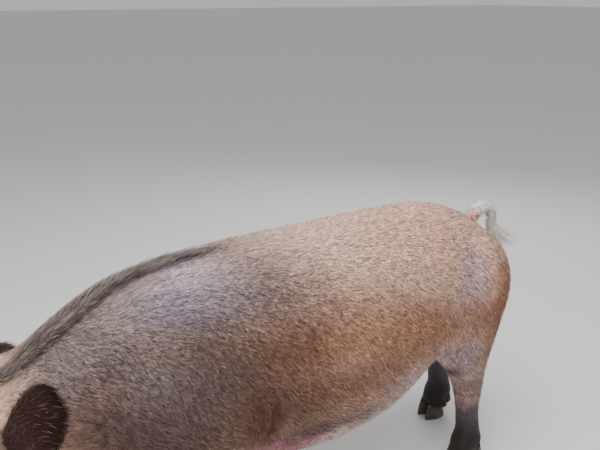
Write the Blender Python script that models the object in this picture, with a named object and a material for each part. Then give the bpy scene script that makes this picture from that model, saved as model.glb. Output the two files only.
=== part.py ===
"""A domestic boar standing with its head lowered: a still, life-size model in metres.

The boar faces -X, its left side is -Y and its feet stand on z = 0. The origin is on the floor between
the feet, in the plane that divides the body into left and right. Every sub-part is one closed solid.
"""

import math
import random
from typing import NamedTuple

import bmesh
import bpy
import numpy as np
from mathutils import Matrix, Vector
from mathutils.bvhtree import BVHTree

# Driving dimensions
BACK_HEIGHT = 0.842          # top of the loin above the floor
TRUNK_LENGTH = 1.25          # front of the shoulder to the back of the ham
TRUNK_BACK = 0.600           # the back of the ham
BELLY_HEIGHT = 0.205         # lowest point of the belly above the floor
BODY_HALF_WIDTH = 0.240
HEAD_LENGTH = 0.400          # back of the skull to the snout disc
HEAD_PITCH = math.radians(50)   # how far the face points below the horizon
HEAD_TURN = math.radians(7)     # the head looks a little to the boar's left
EAR_HALF_WIDTH = 0.086
EAR_THICKNESS = 0.006
TAIL_RADIUS = 0.021
CLAW_TOE = 0.047             # middle of a claw to its toe, at the sole
CLAW_HEEL = 0.034
CLAW_HALF_WIDTH = 0.0185
CLAW_SPACING = 0.0205        # middle of a foot to the middle of a claw
CORONET_HEIGHT = 0.046
CORONET_SLOPE = 0.28         # rise of the coronet towards the toe
EYE_RADIUS = 0.0155
EYE_DEPTH = 0.0108           # the eyeball's middle below the face
LID_THICKNESS = 0.0035
MANE_LENGTH = 0.074
MANE_START_X = -0.885        # along the straight body
MANE_END_X = -0.230
MANE_ROWS = 3
MANE_ROW_SPACING = 0.015
MANE_ROW_LOCKS = 20
LOCK_HALF_WIDTH = 0.0105
LOCK_FLATNESS = 0.28
SWITCH_LENGTH = 0.095        # the hair at the tail's tip
SWITCH_LOCKS = 20
GOLDEN_ANGLE = math.radians(137.5)

JOINT_GAP = 0.0003           # left between touching solids
HALF_GAP = JOINT_GAP / 2

# Mesh fineness
VOXEL = 0.0065
BODY_SIDES = 32
LIMB_SIDES = 20
BODY_TRIANGLES = 2900
HEAD_TRIANGLES = 2000

# Skull frame: the head's own axes, with its origin inside the skull between the ears
SKULL = Vector((-0.800, 0.0, 0.578))
FORWARD = Vector((-math.cos(HEAD_PITCH), 0.0, -math.sin(HEAD_PITCH)))
CROWN = Vector((-math.sin(HEAD_PITCH), 0.0, math.cos(HEAD_PITCH)))
LEFT = Vector((0.0, -1.0, 0.0))
NECK_HINGE_X = -0.580        # the head turns about an upright line here
NECK_BEND_START = -0.450
NECK_BEND_LENGTH = 0.250

NECK_ROOT = Vector((-0.560, 0, 0.60))   # on the plane between the neck and the torso

SIDES = {"left": -1, "right": 1}
FORE_SHIFT = {"left": 0.0, "right": 0.060}   # each foot stands this far behind the foremost one
HIND_SHIFT = {"left": 0.0, "right": 0.121}


class Station(NamedTuple):
    """One cross-section of the body: its top and bottom point in the middle plane, and its half width."""

    top_x: float
    top_z: float
    low_x: float
    low_z: float
    half_width: float


class Joint(NamedTuple):
    """One cross-section of a leg: its middle, and how far it reaches fore and aft and to each side."""

    x: float
    y: float
    z: float
    fore: float
    side: float


class Muzzle(NamedTuple):
    """One cross-section of the head, measured along the skull frame."""

    along: float
    up: float
    down: float
    half_width: float


def trunk_and_neck():
    """Cross-sections from the back of the ham to the nape."""
    back = TRUNK_BACK
    front = TRUNK_BACK - TRUNK_LENGTH
    top = BACK_HEIGHT
    low = BELLY_HEIGHT
    wide = BODY_HALF_WIDTH
    return [
        Station(back - 0.000, top - 0.200, back + 0.004, top - 0.280, 0.22 * wide),
        Station(back - 0.018, top - 0.135, back - 0.006, top - 0.365, 0.52 * wide),
        Station(back - 0.058, top - 0.080, back - 0.052, top - 0.420, 0.70 * wide),
        Station(back - 0.135, top - 0.028, back - 0.145, low + 0.225, 0.82 * wide),
        Station(back - 0.240, top - 0.001, back - 0.262, low + 0.190, 0.88 * wide),
        Station(back - 0.385, top + 0.004, back - 0.400, low + 0.062, 0.94 * wide),
        Station(back - 0.570, top - 0.002, back - 0.570, low + 0.006, 0.99 * wide),
        Station(back - 0.750, top - 0.008, back - 0.750, low + 0.006, wide),
        Station(back - 0.900, top - 0.016, back - 0.900, low + 0.042, 0.96 * wide),
        Station(front + 0.210, top - 0.028, front + 0.210, low + 0.086, 0.90 * wide),
        Station(front + 0.085, top - 0.056, front + 0.105, low + 0.118, 0.83 * wide),
        Station(front - 0.020, top - 0.104, front + 0.035, low + 0.150, 0.76 * wide),
        Station(front - 0.115, top - 0.160, front - 0.015, low + 0.182, 0.70 * wide),
        Station(front - 0.182, top - 0.204, front - 0.055, low + 0.204, 0.64 * wide),
    ]


def skull_sections():
    """Cross-sections of the upper head from the poll to the snout disc."""
    long = HEAD_LENGTH
    return [
        Muzzle(0.050 * long, 0.094, 0.120, 0.128),
        Muzzle(0.200 * long, 0.103, 0.120, 0.124),
        Muzzle(0.350 * long, 0.084, 0.106, 0.108),
        Muzzle(0.475 * long, 0.063, 0.090, 0.080),
        Muzzle(0.600 * long, 0.054, 0.074, 0.065),
        Muzzle(0.725 * long, 0.050, 0.060, 0.059),
        Muzzle(0.850 * long, 0.050, 0.050, 0.055),
        Muzzle(0.930 * long, 0.052, 0.045, 0.053),
        Muzzle(0.965 * long, 0.062, 0.050, 0.063),
        Muzzle(1.000 * long, 0.060, 0.048, 0.061),
    ]


def jaw_sections():
    """Cross-sections of the lower jaw, jowl first, chin last."""
    long = HEAD_LENGTH
    return [
        Muzzle(-0.090 * long, 0.020, 0.162, 0.126),
        Muzzle(0.130 * long, 0.010, 0.180, 0.132),
        Muzzle(0.320 * long, 0.000, 0.164, 0.114),
        Muzzle(0.475 * long, -0.012, 0.138, 0.088),
        Muzzle(0.620 * long, -0.022, 0.115, 0.069),
        Muzzle(0.750 * long, -0.030, 0.099, 0.057),
        Muzzle(0.840 * long, -0.036, 0.088, 0.048),
        Muzzle(0.890 * long, -0.046, 0.076, 0.031),
    ]


def fore_leg(side, shift):
    """Cross-sections of a fore leg from the shoulder blade to below the coronet."""
    return [
        Joint(-0.395, side * 0.070, 0.720, 0.070, 0.060),
        Joint(-0.420, side * 0.098, 0.640, 0.120, 0.088),
        Joint(-0.440, side * 0.114, 0.550, 0.148, 0.094),
        Joint(-0.425 + 0.2 * shift, side * 0.130, 0.455, 0.136, 0.086),
        Joint(-0.402 + 0.5 * shift, side * 0.140, 0.375, 0.100, 0.072),
        Joint(-0.392 + 0.7 * shift, side * 0.145, 0.305, 0.070, 0.059),
        Joint(-0.394 + 0.9 * shift, side * 0.146, 0.245, 0.054, 0.050),
        Joint(-0.400 + shift, side * 0.146, 0.205, 0.055, 0.052),
        Joint(-0.393 + shift, side * 0.146, 0.160, 0.043, 0.043),
        Joint(-0.390 + shift, side * 0.146, 0.125, 0.042, 0.043),
        Joint(-0.393 + shift, side * 0.146, 0.095, 0.052, 0.049),
        Joint(-0.403 + shift, side * 0.146, 0.068, 0.047, 0.046),
        Joint(-0.411 + shift, side * 0.146, 0.040, 0.047, 0.046),
        Joint(-0.414 + shift, side * 0.146, 0.000, 0.047, 0.046),
        Joint(-0.416 + shift, side * 0.146, -0.040, 0.047, 0.046),
    ]


def hind_leg(side, shift):
    """Cross-sections of a hind leg from the hip to below the coronet."""
    return [
        Joint(0.430, side * 0.070, 0.720, 0.110, 0.075),
        Joint(0.422, side * 0.100, 0.640, 0.160, 0.096),
        Joint(0.418, side * 0.112, 0.550, 0.168, 0.098),
        Joint(0.414, side * 0.120, 0.465, 0.142, 0.089),
        Joint(0.423 + 0.2 * shift, side * 0.130, 0.395, 0.102, 0.073),
        Joint(0.434 + 0.4 * shift, side * 0.136, 0.340, 0.073, 0.058),
        Joint(0.445 + 0.7 * shift, side * 0.138, 0.292, 0.055, 0.048),
        Joint(0.450 + 0.9 * shift, side * 0.138, 0.250, 0.045, 0.043),
        Joint(0.453 + shift, side * 0.138, 0.205, 0.038, 0.038),
        Joint(0.458 + shift, side * 0.138, 0.160, 0.038, 0.038),
        Joint(0.462 + shift, side * 0.138, 0.125, 0.040, 0.040),
        Joint(0.460 + shift, side * 0.138, 0.095, 0.049, 0.047),
        Joint(0.452 + shift, side * 0.138, 0.068, 0.046, 0.045),
        Joint(0.445 + shift, side * 0.138, 0.040, 0.047, 0.046),
        Joint(0.442 + shift, side * 0.138, 0.000, 0.047, 0.046),
        Joint(0.440 + shift, side * 0.138, -0.040, 0.047, 0.046),
    ]


def spline(values, per_gap):
    """Rows of numbers read between the given ones along a Catmull-Rom curve."""
    rows = np.array(values, float)
    ends = np.vstack([2 * rows[0] - rows[1], rows, 2 * rows[-1] - rows[-2]])
    made = []
    for i in range(len(rows) - 1):
        a, b, c, d = ends[i : i + 4]
        for step in range(per_gap):
            t = step / per_gap
            square = (2 * a - 5 * b + 4 * c - d) * t**2
            cube = (3 * b - a - 3 * c + d) * t**3
            made.append(0.5 * (2 * b + (c - a) * t + square + cube))
    made.append(rows[-1])
    return made


def blend(t, start, end):
    """A smooth step from 0 before start to 1 after end."""
    part = np.clip((t - start) / (end - start), 0, 1)
    return part * part * (3 - 2 * part)


def ring(middle, across, upright, half_width, up, down, sides, squareness=2.2):
    """Points round a rounded cross-section."""
    points = []
    for i in range(sides):
        angle = 2 * math.pi * i / sides
        c = math.cos(angle)
        s = math.sin(angle)
        wide = math.copysign(abs(c) ** (2 / squareness), c) * half_width
        tall = math.copysign(abs(s) ** (2 / squareness), s) * (up if s > 0 else down)
        points.append(middle + across * wide + upright * tall)
    return points


def add_loft(bm, rings):
    """Skins a row of rings and closes both ends."""
    loops = [[bm.verts.new(p) for p in points] for points in rings]
    sides = len(loops[0])
    for near, far in zip(loops, loops[1:]):
        for i in range(sides):
            j = (i + 1) % sides
            bm.faces.new((near[i], near[j], far[j], far[i]))
    bm.faces.new(reversed(loops[0]))
    bm.faces.new(loops[-1])


def add_sheet(bm, outer, inner):
    """Closes two grids of points that lie one over the other into a thin solid."""
    rows = len(outer)
    columns = len(outer[0])
    grids = [[[bm.verts.new(p) for p in row] for row in grid] for grid in (outer, inner)]
    for grid in grids:
        for i in range(rows - 1):
            for j in range(columns - 1):
                bm.faces.new((grid[i][j], grid[i][j + 1], grid[i + 1][j + 1], grid[i + 1][j]))
    rim = [(0, j) for j in range(columns)]
    rim += [(i, columns - 1) for i in range(1, rows)]
    rim += [(rows - 1, j) for j in range(columns - 2, -1, -1)]
    rim += [(i, 0) for i in range(rows - 2, 0, -1)]
    for (i, j), (k, m) in zip(rim, rim[1:] + rim[:1]):
        bm.faces.new((grids[0][i][j], grids[1][i][j], grids[1][k][m], grids[0][k][m]))


def add_ball(bm, middle, radii, segments=20):
    """A stretched ball, for a muscle or a pad of fat."""
    matrix = Matrix.Translation(middle) @ Matrix.Diagonal((*radii, 1.0))
    bmesh.ops.create_uvsphere(bm, u_segments=segments, v_segments=segments // 2, radius=1.0, matrix=matrix)


def skull_point(along, across, up):
    """A point given in the skull frame of the straight body; across is to the boar's left."""
    return SKULL + FORWARD * along + LEFT * across + CROWN * up


def turned(point):
    """Where a point of the straight body goes when the neck bends to the boar's left."""
    bent = blend(NECK_BEND_START - point.x, 0, NECK_BEND_LENGTH)
    pivot = Vector((NECK_HINGE_X, 0, point.z))
    return pivot + Matrix.Rotation(HEAD_TURN * bent, 3, "Z") @ (point - pivot)


def on_head(along, across, up):
    """A point given in the skull frame of the turned head."""
    return turned(skull_point(along, across, up))


def head_direction(along, across, up):
    """A direction given in the skull frame of the turned head."""
    return (Matrix.Rotation(HEAD_TURN, 3, "Z") @ (FORWARD * along + LEFT * across + CROWN * up)).normalized()


def mesh_object(name, bm):
    """A new object from a bmesh, with its faces pointing out."""
    bmesh.ops.recalc_face_normals(bm, faces=bm.faces)
    mesh = bpy.data.meshes.new(name)
    bm.to_mesh(mesh)
    bm.free()
    obj = bpy.data.objects.new(name, mesh)
    bpy.context.scene.collection.objects.link(obj)
    return obj


def apply_modifiers(obj):
    """Makes the evaluated mesh the object's own."""
    graph = bpy.context.evaluated_depsgraph_get()
    mesh = bpy.data.meshes.new_from_object(obj.evaluated_get(graph))
    obj.modifiers.clear()
    obj.data = mesh


def remove(*objects):
    for obj in objects:
        bpy.data.objects.remove(obj)


def copy_of(obj):
    twin = obj.copy()
    twin.data = obj.data.copy()
    bpy.context.scene.collection.objects.link(twin)
    return twin


def coordinates(obj):
    points = np.empty(len(obj.data.vertices) * 3, np.float32)
    obj.data.vertices.foreach_get("co", points)
    return points.reshape(-1, 3).astype(float)


def set_coordinates(obj, points):
    obj.data.vertices.foreach_set("co", points.astype(np.float32).ravel())
    obj.data.update()


def surface_of(obj):
    """The object's surface, for finding points on it."""
    return BVHTree.FromPolygons([v.co for v in obj.data.vertices], [p.vertices for p in obj.data.polygons])


def upright_ring(station):
    """A cross-section of the body, leaning as the line from its bottom to its top does."""
    top = Vector((station.top_x, 0, station.top_z))
    low = Vector((station.low_x, 0, station.low_z))
    upright = (top - low).normalized()
    tall = (top - low).length
    middle = low + upright * 0.48 * tall
    return ring(middle, LEFT, upright, station.half_width, 0.52 * tall, 0.48 * tall, BODY_SIDES)


def muzzle_ring(section):
    """A cross-section of the head in the skull frame."""
    middle_up = (section.up - section.down) / 2
    half = (section.up + section.down) / 2
    middle = skull_point(section.along, 0, middle_up)
    return ring(middle, LEFT, CROWN, section.half_width, half, half, BODY_SIDES, 2.6)


def leg_ring(joint):
    """A level cross-section of a leg."""
    middle = Vector((joint.x, joint.y, joint.z))
    return ring(middle, Vector((0, 1, 0)), Vector((1, 0, 0)), joint.side, joint.fore, joint.fore, LIMB_SIDES)


def add_muscles(bm, side, hind_shift):
    """The masses that break the plain outline: the face, jowl, throat, ear base, shoulder, elbow, ham and hock."""
    add_ball(bm, skull_point(0.058, -side * 0.094, -0.084), (0.085, 0.050, 0.074))
    add_ball(bm, skull_point(0.100, -side * 0.074, 0.058), (0.050, 0.036, 0.028))
    add_ball(bm, skull_point(0.128, -side * 0.092, -0.010), (0.052, 0.026, 0.022))
    add_ball(bm, skull_point(0.285, -side * 0.042, -0.022), (0.052, 0.026, 0.030))
    add_ball(bm, skull_point(0.020, -side * 0.062, -0.132), (0.090, 0.062, 0.062))
    add_ball(bm, (-0.690, side * 0.048, 0.452), (0.110, 0.085, 0.082))
    add_ball(bm, skull_point(-0.008, -side * 0.084, 0.030), (0.050, 0.042, 0.046))
    add_ball(bm, (-0.440, side * 0.118, 0.575), (0.125, 0.100, 0.165))
    add_ball(bm, (-0.345, side * 0.160, 0.440), (0.060, 0.044, 0.070))
    add_ball(bm, (-0.540, side * 0.090, 0.500), (0.090, 0.080, 0.105))
    add_ball(bm, (0.262, side * 0.135, 0.500), (0.125, 0.060, 0.096))
    add_ball(bm, (0.450, side * 0.118, 0.600), (0.142, 0.102, 0.180))
    add_ball(bm, (0.480 + 0.6 * hind_shift, side * 0.138, 0.318), (0.022, 0.026, 0.046))
    add_ball(bm, (0.566, side * 0.034, 0.485), (0.052, 0.036, 0.068))


def add_body(bm):
    """The trunk, neck, head, legs and muscles as overlapping closed shapes."""
    stations = list(trunk_and_neck())
    first = skull_sections()[0]
    top = skull_point(first.along, 0, first.up)
    low = skull_point(first.along, 0, -first.down)
    stations.append(Station(top.x, top.z, low.x, low.z, first.half_width))
    add_loft(bm, [upright_ring(Station(*row)) for row in spline(stations, 3)])
    for sections in (skull_sections(), jaw_sections()):
        add_loft(bm, [muzzle_ring(Muzzle(*row)) for row in spline(sections, 3)])
    add_ball(bm, (0.060, 0, BELLY_HEIGHT + 0.008), (0.075, 0.030, 0.026))
    for name, side in SIDES.items():
        for joints in (fore_leg(side, FORE_SHIFT[name]), hind_leg(side, HIND_SHIFT[name])):
            add_loft(bm, [leg_ring(Joint(*row)) for row in spline(joints, 3)])
        add_muscles(bm, side, HIND_SHIFT[name])


def softness(points):
    """How much each point is softened: most on the trunk, least on the feet and the snout."""
    legs = blend(points[:, 2], 0.22, 0.42)
    along = (points - np.array(SKULL)) @ np.array(FORWARD)
    ahead = points[:, 0] < -0.70
    face = ahead * blend(along, -0.06, 0.08)
    snout = ahead * blend(along, 0.22, 0.36)
    return 0.025 + 0.475 * np.maximum(legs, ahead) * (1 - 0.86 * face) - 0.045 * snout


def soften(obj, rounds):
    """Moves each point towards the middle of its neighbours."""
    edges = np.empty(len(obj.data.edges) * 2, np.int32)
    obj.data.edges.foreach_get("vertices", edges)
    near, far = edges.reshape(-1, 2).T
    points = coordinates(obj)
    amount = softness(points)[:, None]
    count = len(points)
    neighbours = np.bincount(near, minlength=count) + np.bincount(far, minlength=count)
    for _ in range(rounds):
        for axis in range(3):
            values = points[:, axis]
            total = np.bincount(near, values[far], count) + np.bincount(far, values[near], count)
            points[:, axis] += (total / neighbours - values) * amount[:, 0]
    set_coordinates(obj, points)


def flesh():
    """The body shapes merged into one skin, with the joins softened and the head turned."""
    bm = bmesh.new()
    add_body(bm)
    obj = mesh_object("body", bm)
    remesh = obj.modifiers.new("merge", "REMESH")
    remesh.mode = "VOXEL"
    remesh.voxel_size = VOXEL
    apply_modifiers(obj)
    soften(obj, 44)
    set_coordinates(obj, np.array([turned(Vector(p)) for p in coordinates(obj)]))
    return obj


def triangle_count(obj):
    obj.data.calc_loop_triangles()
    return len(obj.data.loop_triangles)


def reduce_region(obj, chosen, triangles):
    """Collapses edges among the chosen points, flattest first, down to about this many triangles."""
    group = obj.vertex_groups.new(name="chosen")
    group.add([int(i) for i in np.flatnonzero(chosen)], 1.0, "REPLACE")
    inside = sum(all(chosen[i] for i in t.vertices) for t in obj.data.loop_triangles)
    total = triangle_count(obj)
    decimate = obj.modifiers.new("reduce", "DECIMATE")
    decimate.ratio = (total - inside + triangles) / total
    decimate.vertex_group = "chosen"
    decimate.vertex_group_factor = 1.0
    decimate.use_collapse_triangulate = True
    apply_modifiers(obj)
    obj.vertex_groups.clear()


def in_head(points):
    """Which points lie ahead of the nape."""
    middle = np.array(on_head(-0.020, 0, 0))
    return (points - middle) @ np.array(head_direction(1, 0, 0)) > 0


def boolean(obj, other, operation):
    """Applies one Boolean and leaves the other object in place."""
    modifier = obj.modifiers.new(operation.lower(), "BOOLEAN")
    modifier.operation = operation
    modifier.solver = "EXACT"
    modifier.object = other
    bpy.context.view_layer.update()
    apply_modifiers(obj)


def unite(obj, pieces):
    """Fuses loose pieces into a node with one Boolean union."""
    shelf = bpy.data.collections.new("pieces")
    bpy.context.scene.collection.children.link(shelf)
    for piece in pieces:
        bpy.context.scene.collection.objects.unlink(piece)
        shelf.objects.link(piece)
    modifier = obj.modifiers.new("union", "BOOLEAN")
    modifier.operation = "UNION"
    modifier.solver = "EXACT"
    modifier.operand_type = "COLLECTION"
    modifier.collection = shelf
    bpy.context.view_layer.update()
    apply_modifiers(obj)
    remove(*pieces)
    bpy.data.collections.remove(shelf)


def keep_largest(obj):
    """Drops every closed surface of the node but the largest."""
    bm = bmesh.new()
    bm.from_mesh(obj.data)
    bmesh.ops.remove_doubles(bm, verts=bm.verts, dist=1e-6)
    unseen = set(bm.verts)
    islands = []
    while unseen:
        stack = [unseen.pop()]
        island = []
        while stack:
            vert = stack.pop()
            island.append(vert)
            for edge in vert.link_edges:
                other = edge.other_vert(vert)
                if other in unseen:
                    unseen.remove(other)
                    stack.append(other)
        islands.append(island)
    islands.sort(key=len)
    scraps = [vert for island in islands[:-1] for vert in island]
    bmesh.ops.delete(bm, geom=scraps, context="VERTS")
    bmesh.ops.triangulate(bm, faces=bm.faces)
    bm.to_mesh(obj.data)
    bm.free()


def box_cutter(middle, axis, depth, reach, grown=0.0):
    """A box whose near face passes through middle and which extends along axis; grown makes it larger."""
    axis = axis.normalized()
    upright = axis.cross(Vector((0, 1, 0))).normalized()
    across = upright.cross(axis)
    frame = Matrix((across, upright, axis)).transposed().to_4x4()
    size = (reach[0] + 2 * grown, reach[1] + 2 * grown, depth + grown)
    place = middle + axis * (depth - grown) / 2
    bm = bmesh.new()
    bmesh.ops.create_cube(bm, size=1.0, matrix=Matrix.Translation(place) @ frame @ Matrix.Diagonal((*size, 1.0)))
    return mesh_object("cutter", bm)


def leg_cutter(middle, slope, reach, grown=0.0):
    """An upright block below a plane that rises outwards through middle."""
    low = -0.20
    side = math.copysign(1, middle.y)
    bm = bmesh.new()
    size = (reach[0] + 2 * grown, reach[1] + 2 * grown, 1.0)
    place = Matrix.Translation((middle.x, middle.y, 0))
    bmesh.ops.create_cube(bm, size=1.0, matrix=place @ Matrix.Diagonal((*size, 1.0)))
    for vert in bm.verts:
        top = middle.z + slope * side * (vert.co.y - middle.y) + grown
        vert.co.z = top if vert.co.z > 0 else low
    return mesh_object("cutter", bm)


def part_off(body, name, make_cutter):
    """Cuts the piece inside a cutter off the body, with the joint gap between them, and returns the piece."""
    piece = copy_of(body)
    piece.name = name
    inner = make_cutter(-HALF_GAP)
    outer = make_cutter(HALF_GAP)
    boolean(piece, inner, "INTERSECT")
    boolean(body, outer, "DIFFERENCE")
    remove(inner, outer)
    keep_largest(piece)
    keep_largest(body)
    return piece


def swollen(obj, amount):
    """A copy of the object with every point moved out along its normal."""
    twin = copy_of(obj)
    points = coordinates(twin)
    normals = np.empty(len(points) * 3, np.float32)
    twin.data.vertices.foreach_get("normal", normals)
    set_coordinates(twin, points + normals.reshape(-1, 3) * amount)
    return twin


def clear_of(piece, neighbour):
    """Cuts the piece back to the joint gap from its neighbour."""
    cutter = swollen(neighbour, 1.6 * JOINT_GAP)
    boolean(piece, cutter, "DIFFERENCE")
    remove(cutter)
    keep_largest(piece)


def tube(name, path, radii, sides, across=Vector((0, 1, 0))):
    """A tapered tube along a path; its last radius closes it to a blunt tip."""
    rings = []
    for i, (point, radius) in enumerate(zip(path, radii)):
        ahead = (path[min(i + 1, len(path) - 1)] - path[max(i - 1, 0)]).normalized()
        tall = ahead.cross(across).normalized()
        wide = tall.cross(ahead)
        rings.append(ring(point, wide, tall, radius, radius, radius, sides, 2.0))
    bm = bmesh.new()
    add_loft(bm, rings)
    return mesh_object(name, bm)


def eye_places(body):
    """The middle of each eyeball and the way it looks."""
    surface = surface_of(body)
    places = {}
    for name, side in SIDES.items():
        outward = head_direction(0.30, -side, 0.16)
        start = on_head(0.128, -side * 0.30, 0.040)
        hit, _, _, _ = surface.ray_cast(start, -head_direction(0, -side, 0))
        places[name] = (hit - outward * EYE_DEPTH, outward)
    return places


def lid(name, middle, outward, upright, edge_tilt, root_tilt):
    """A lid: a curved shell over the eyeball, from its free edge to its root in the flesh."""
    forward = upright.cross(outward).normalized()
    grids = ([], [])
    steps = 9
    for row in range(4):
        for grid in grids:
            grid.append([])
        for column in range(steps):
            swing = math.radians(-84 + 168 * column / (steps - 1))
            arch = math.cos(swing)
            tilt = math.radians(edge_tilt * arch + (root_tilt - edge_tilt * arch) * row / 3)
            level = outward * math.cos(tilt) + upright * math.sin(tilt)
            ray = level * math.cos(swing) + forward * math.sin(swing)
            for grid, radius in zip(grids, (EYE_RADIUS + LID_THICKNESS, EYE_RADIUS - 0.001)):
                grid[-1].append(middle + ray * radius)
    bm = bmesh.new()
    add_sheet(bm, *grids)
    return mesh_object(name, bm)


def mouth_cutter(body):
    """The groove of the mouth: from one corner round under the snout disc to the other."""
    surface = surface_of(body)
    long = HEAD_LENGTH
    line = [(0.40 * long, -0.074), (0.46 * long, -0.084), (0.56 * long, -0.072), (0.68 * long, -0.060)]
    line += [(0.79 * long, -0.052), (0.88 * long, -0.050)]
    points = []
    for across in (1, -1):
        side_points = []
        for along, up in spline(line, 3):
            start = on_head(along, across * 0.30, up)
            hit, _, _, _ = surface.ray_cast(start, -head_direction(0, across, 0))
            if hit is not None:
                side_points.append(hit)
        points.append(side_points)
    front, _, _, _ = surface.ray_cast(on_head(1.3 * long, 0, -0.053), -head_direction(1, 0, 0))
    path = points[0] + [front] + points[1][::-1]
    radii = [0.0008] + [0.0034] * (len(path) - 2) + [0.0008]
    return tube("mouth", path, radii, 6, CROWN)


def nostril_cutters():
    """The two openings in the snout disc."""
    long = HEAD_LENGTH
    cutters = []
    for across in (1, -1):
        path = [on_head(long * 1.06, across * 0.0205, 0.008), on_head(long * 0.995, across * 0.0205, 0.008)]
        path += [on_head(long * 0.965, across * 0.0190, 0.006), on_head(long * 0.940, across * 0.0160, 0.002)]
        cutters.append(tube("nostril", path, (0.0120, 0.0105, 0.0082, 0.0030), 10, LEFT))
    return cutters


def ear(name, side):
    """A cupped ear that stands out from the head and falls forward at its tip."""
    middle_line = [(-0.014, 0.074, 0.034), (-0.010, 0.110, 0.054), (0.008, 0.146, 0.062), (0.038, 0.176, 0.050)]
    middle_line += [(0.070, 0.196, 0.014), (0.094, 0.206, -0.036)]
    widths = (0.62, 0.84, 1.02, 0.98, 0.66, 0.06)
    curls = (108, 96, 72, 52, 38, 26)
    rows = spline([(*point, width, curl) for point, width, curl in zip(middle_line, widths, curls)], 2)
    outer = []
    inner = []
    columns = 11
    for i, (along, across, up, width, curl) in enumerate(rows):
        before = Vector(rows[max(i - 1, 0)][:3])
        after = Vector(rows[min(i + 1, len(rows) - 1)][:3])
        ahead = (after - before).normalized()
        back = Vector((0.05, 0.35, 0.92))
        broad = ahead.cross(back).normalized()
        back = broad.cross(ahead).normalized()
        half_angle = math.radians(curl)
        radius = EAR_HALF_WIDTH * width / half_angle
        thick = EAR_THICKNESS * (1 - 0.5 * i / (len(rows) - 1))
        outer.append([])
        inner.append([])
        for column in range(columns):
            part = 2 * column / (columns - 1) - 1
            angle = half_angle * part
            spoke = broad * math.sin(angle) + back * math.cos(angle)
            wall = thick / 2 * (1 - 0.45 * abs(part))
            hub = Vector((along, across, up)) - back * radius
            for grid, reach in ((outer, radius + wall), (inner, radius - wall)):
                place = hub + spoke * reach
                grid[-1].append(on_head(place.x, -side * place.y, place.z))
    bm = bmesh.new()
    add_sheet(bm, outer, inner)
    return mesh_object(name, bm)


def coronet_plane(foot):
    """A point on the plane between a leg and its claws, and the plane's downward normal."""
    return Vector((foot.x, foot.y, CORONET_HEIGHT)), Vector((-CORONET_SLOPE, 0, -1)).normalized()


def claw(name, foot, inner):
    """One of the two main claws of a foot: a flat sole, a sloping front wall and a rounded heel."""
    levels = ((0.0, 1.00, 0.96), (0.07, 1.01, 1.00), (0.55, 0.90, 0.98), (1.0, 0.72, 0.90))
    sides = 14
    rings = []
    for height, length, width in levels:
        points = []
        for i in range(sides):
            angle = 2 * math.pi * i / sides
            fore = -math.cos(angle)
            reach = (CLAW_TOE if fore > 0 else CLAW_HEEL) * length
            pinch = 1 - 0.30 * max(0.0, fore) ** 2
            x = foot.x - fore * reach
            y = foot.y + inner * CLAW_SPACING + CLAW_HALF_WIDTH * width * pinch * math.sin(angle)
            top = CORONET_HEIGHT + CORONET_SLOPE * (foot.x - x) - HALF_GAP * 1.2
            points.append(Vector((x, y, top * height)))
        rings.append(points)
    bm = bmesh.new()
    add_loft(bm, rings)
    return mesh_object(name, bm)


def dewclaw(name, foot, side):
    """A small claw behind the fetlock, clear of the floor."""
    path = [Vector((0.006, 0.012, 0.104)), Vector((0.030, 0.020, 0.092)), Vector((0.044, 0.024, 0.074))]
    path += [Vector((0.050, 0.025, 0.056)), Vector((0.049, 0.024, 0.043))]
    places = [Vector((foot.x + p.x, foot.y + side * p.y, p.z)) for p in path]
    return tube(name, places, (0.0120, 0.0135, 0.0130, 0.0105, 0.0030), 7)


def tail_path():
    """The middle line of the tail: up from the croup, over and down."""
    x = TRUNK_BACK
    line = [(x - 0.078, 0, 0.738), (x - 0.048, 0, 0.772), (x - 0.018, 0, 0.790), (x + 0.012, 0, 0.787)]
    line += [(x + 0.033, 0.004, 0.765), (x + 0.042, 0.008, 0.730), (x + 0.044, 0.010, 0.690)]
    return [Vector(row) for row in spline(line, 2)]


def tail():
    path = tail_path()
    radii = [TAIL_RADIUS * (1.1 - 0.5 * i / (len(path) - 1)) for i in range(len(path))]
    return tube("tail", path, radii, 12)


def add_lock(bm, root, ahead, rise, length, half_width, roll, settle):
    """A flat, tapered lock: it starts below the skin, bends back down along the coat and ends in a point."""
    across = ahead.cross(rise).normalized()
    loops = []
    for part, width in ((-0.16, 0.80), (0.30, 1.0), (0.68, 0.66)):
        place = root + ahead * length * part + rise * length * settle * (1 - (1.5 * part - 1) ** 2)
        if part < 0:
            place = root + (ahead - rise).normalized() * length * part
        turn = Matrix.Rotation(roll, 3, ahead)
        wide = turn @ across * half_width * width
        thick = turn @ rise * half_width * LOCK_FLATNESS * width
        loops.append([bm.verts.new(place + offset) for offset in (wide, thick, -wide, -thick)])
    tip = bm.verts.new(root + ahead * length + rise * length * settle * 0.75)
    bm.faces.new(reversed(loops[0]))
    for near, far in zip(loops, loops[1:]):
        for i in range(4):
            j = (i + 1) % 4
            bm.faces.new((near[i], near[j], far[j]))
            bm.faces.new((near[i], far[j], far[i]))
    for i in range(4):
        bm.faces.new((loops[-1][i], loops[-1][(i + 1) % 4], tip))


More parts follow.
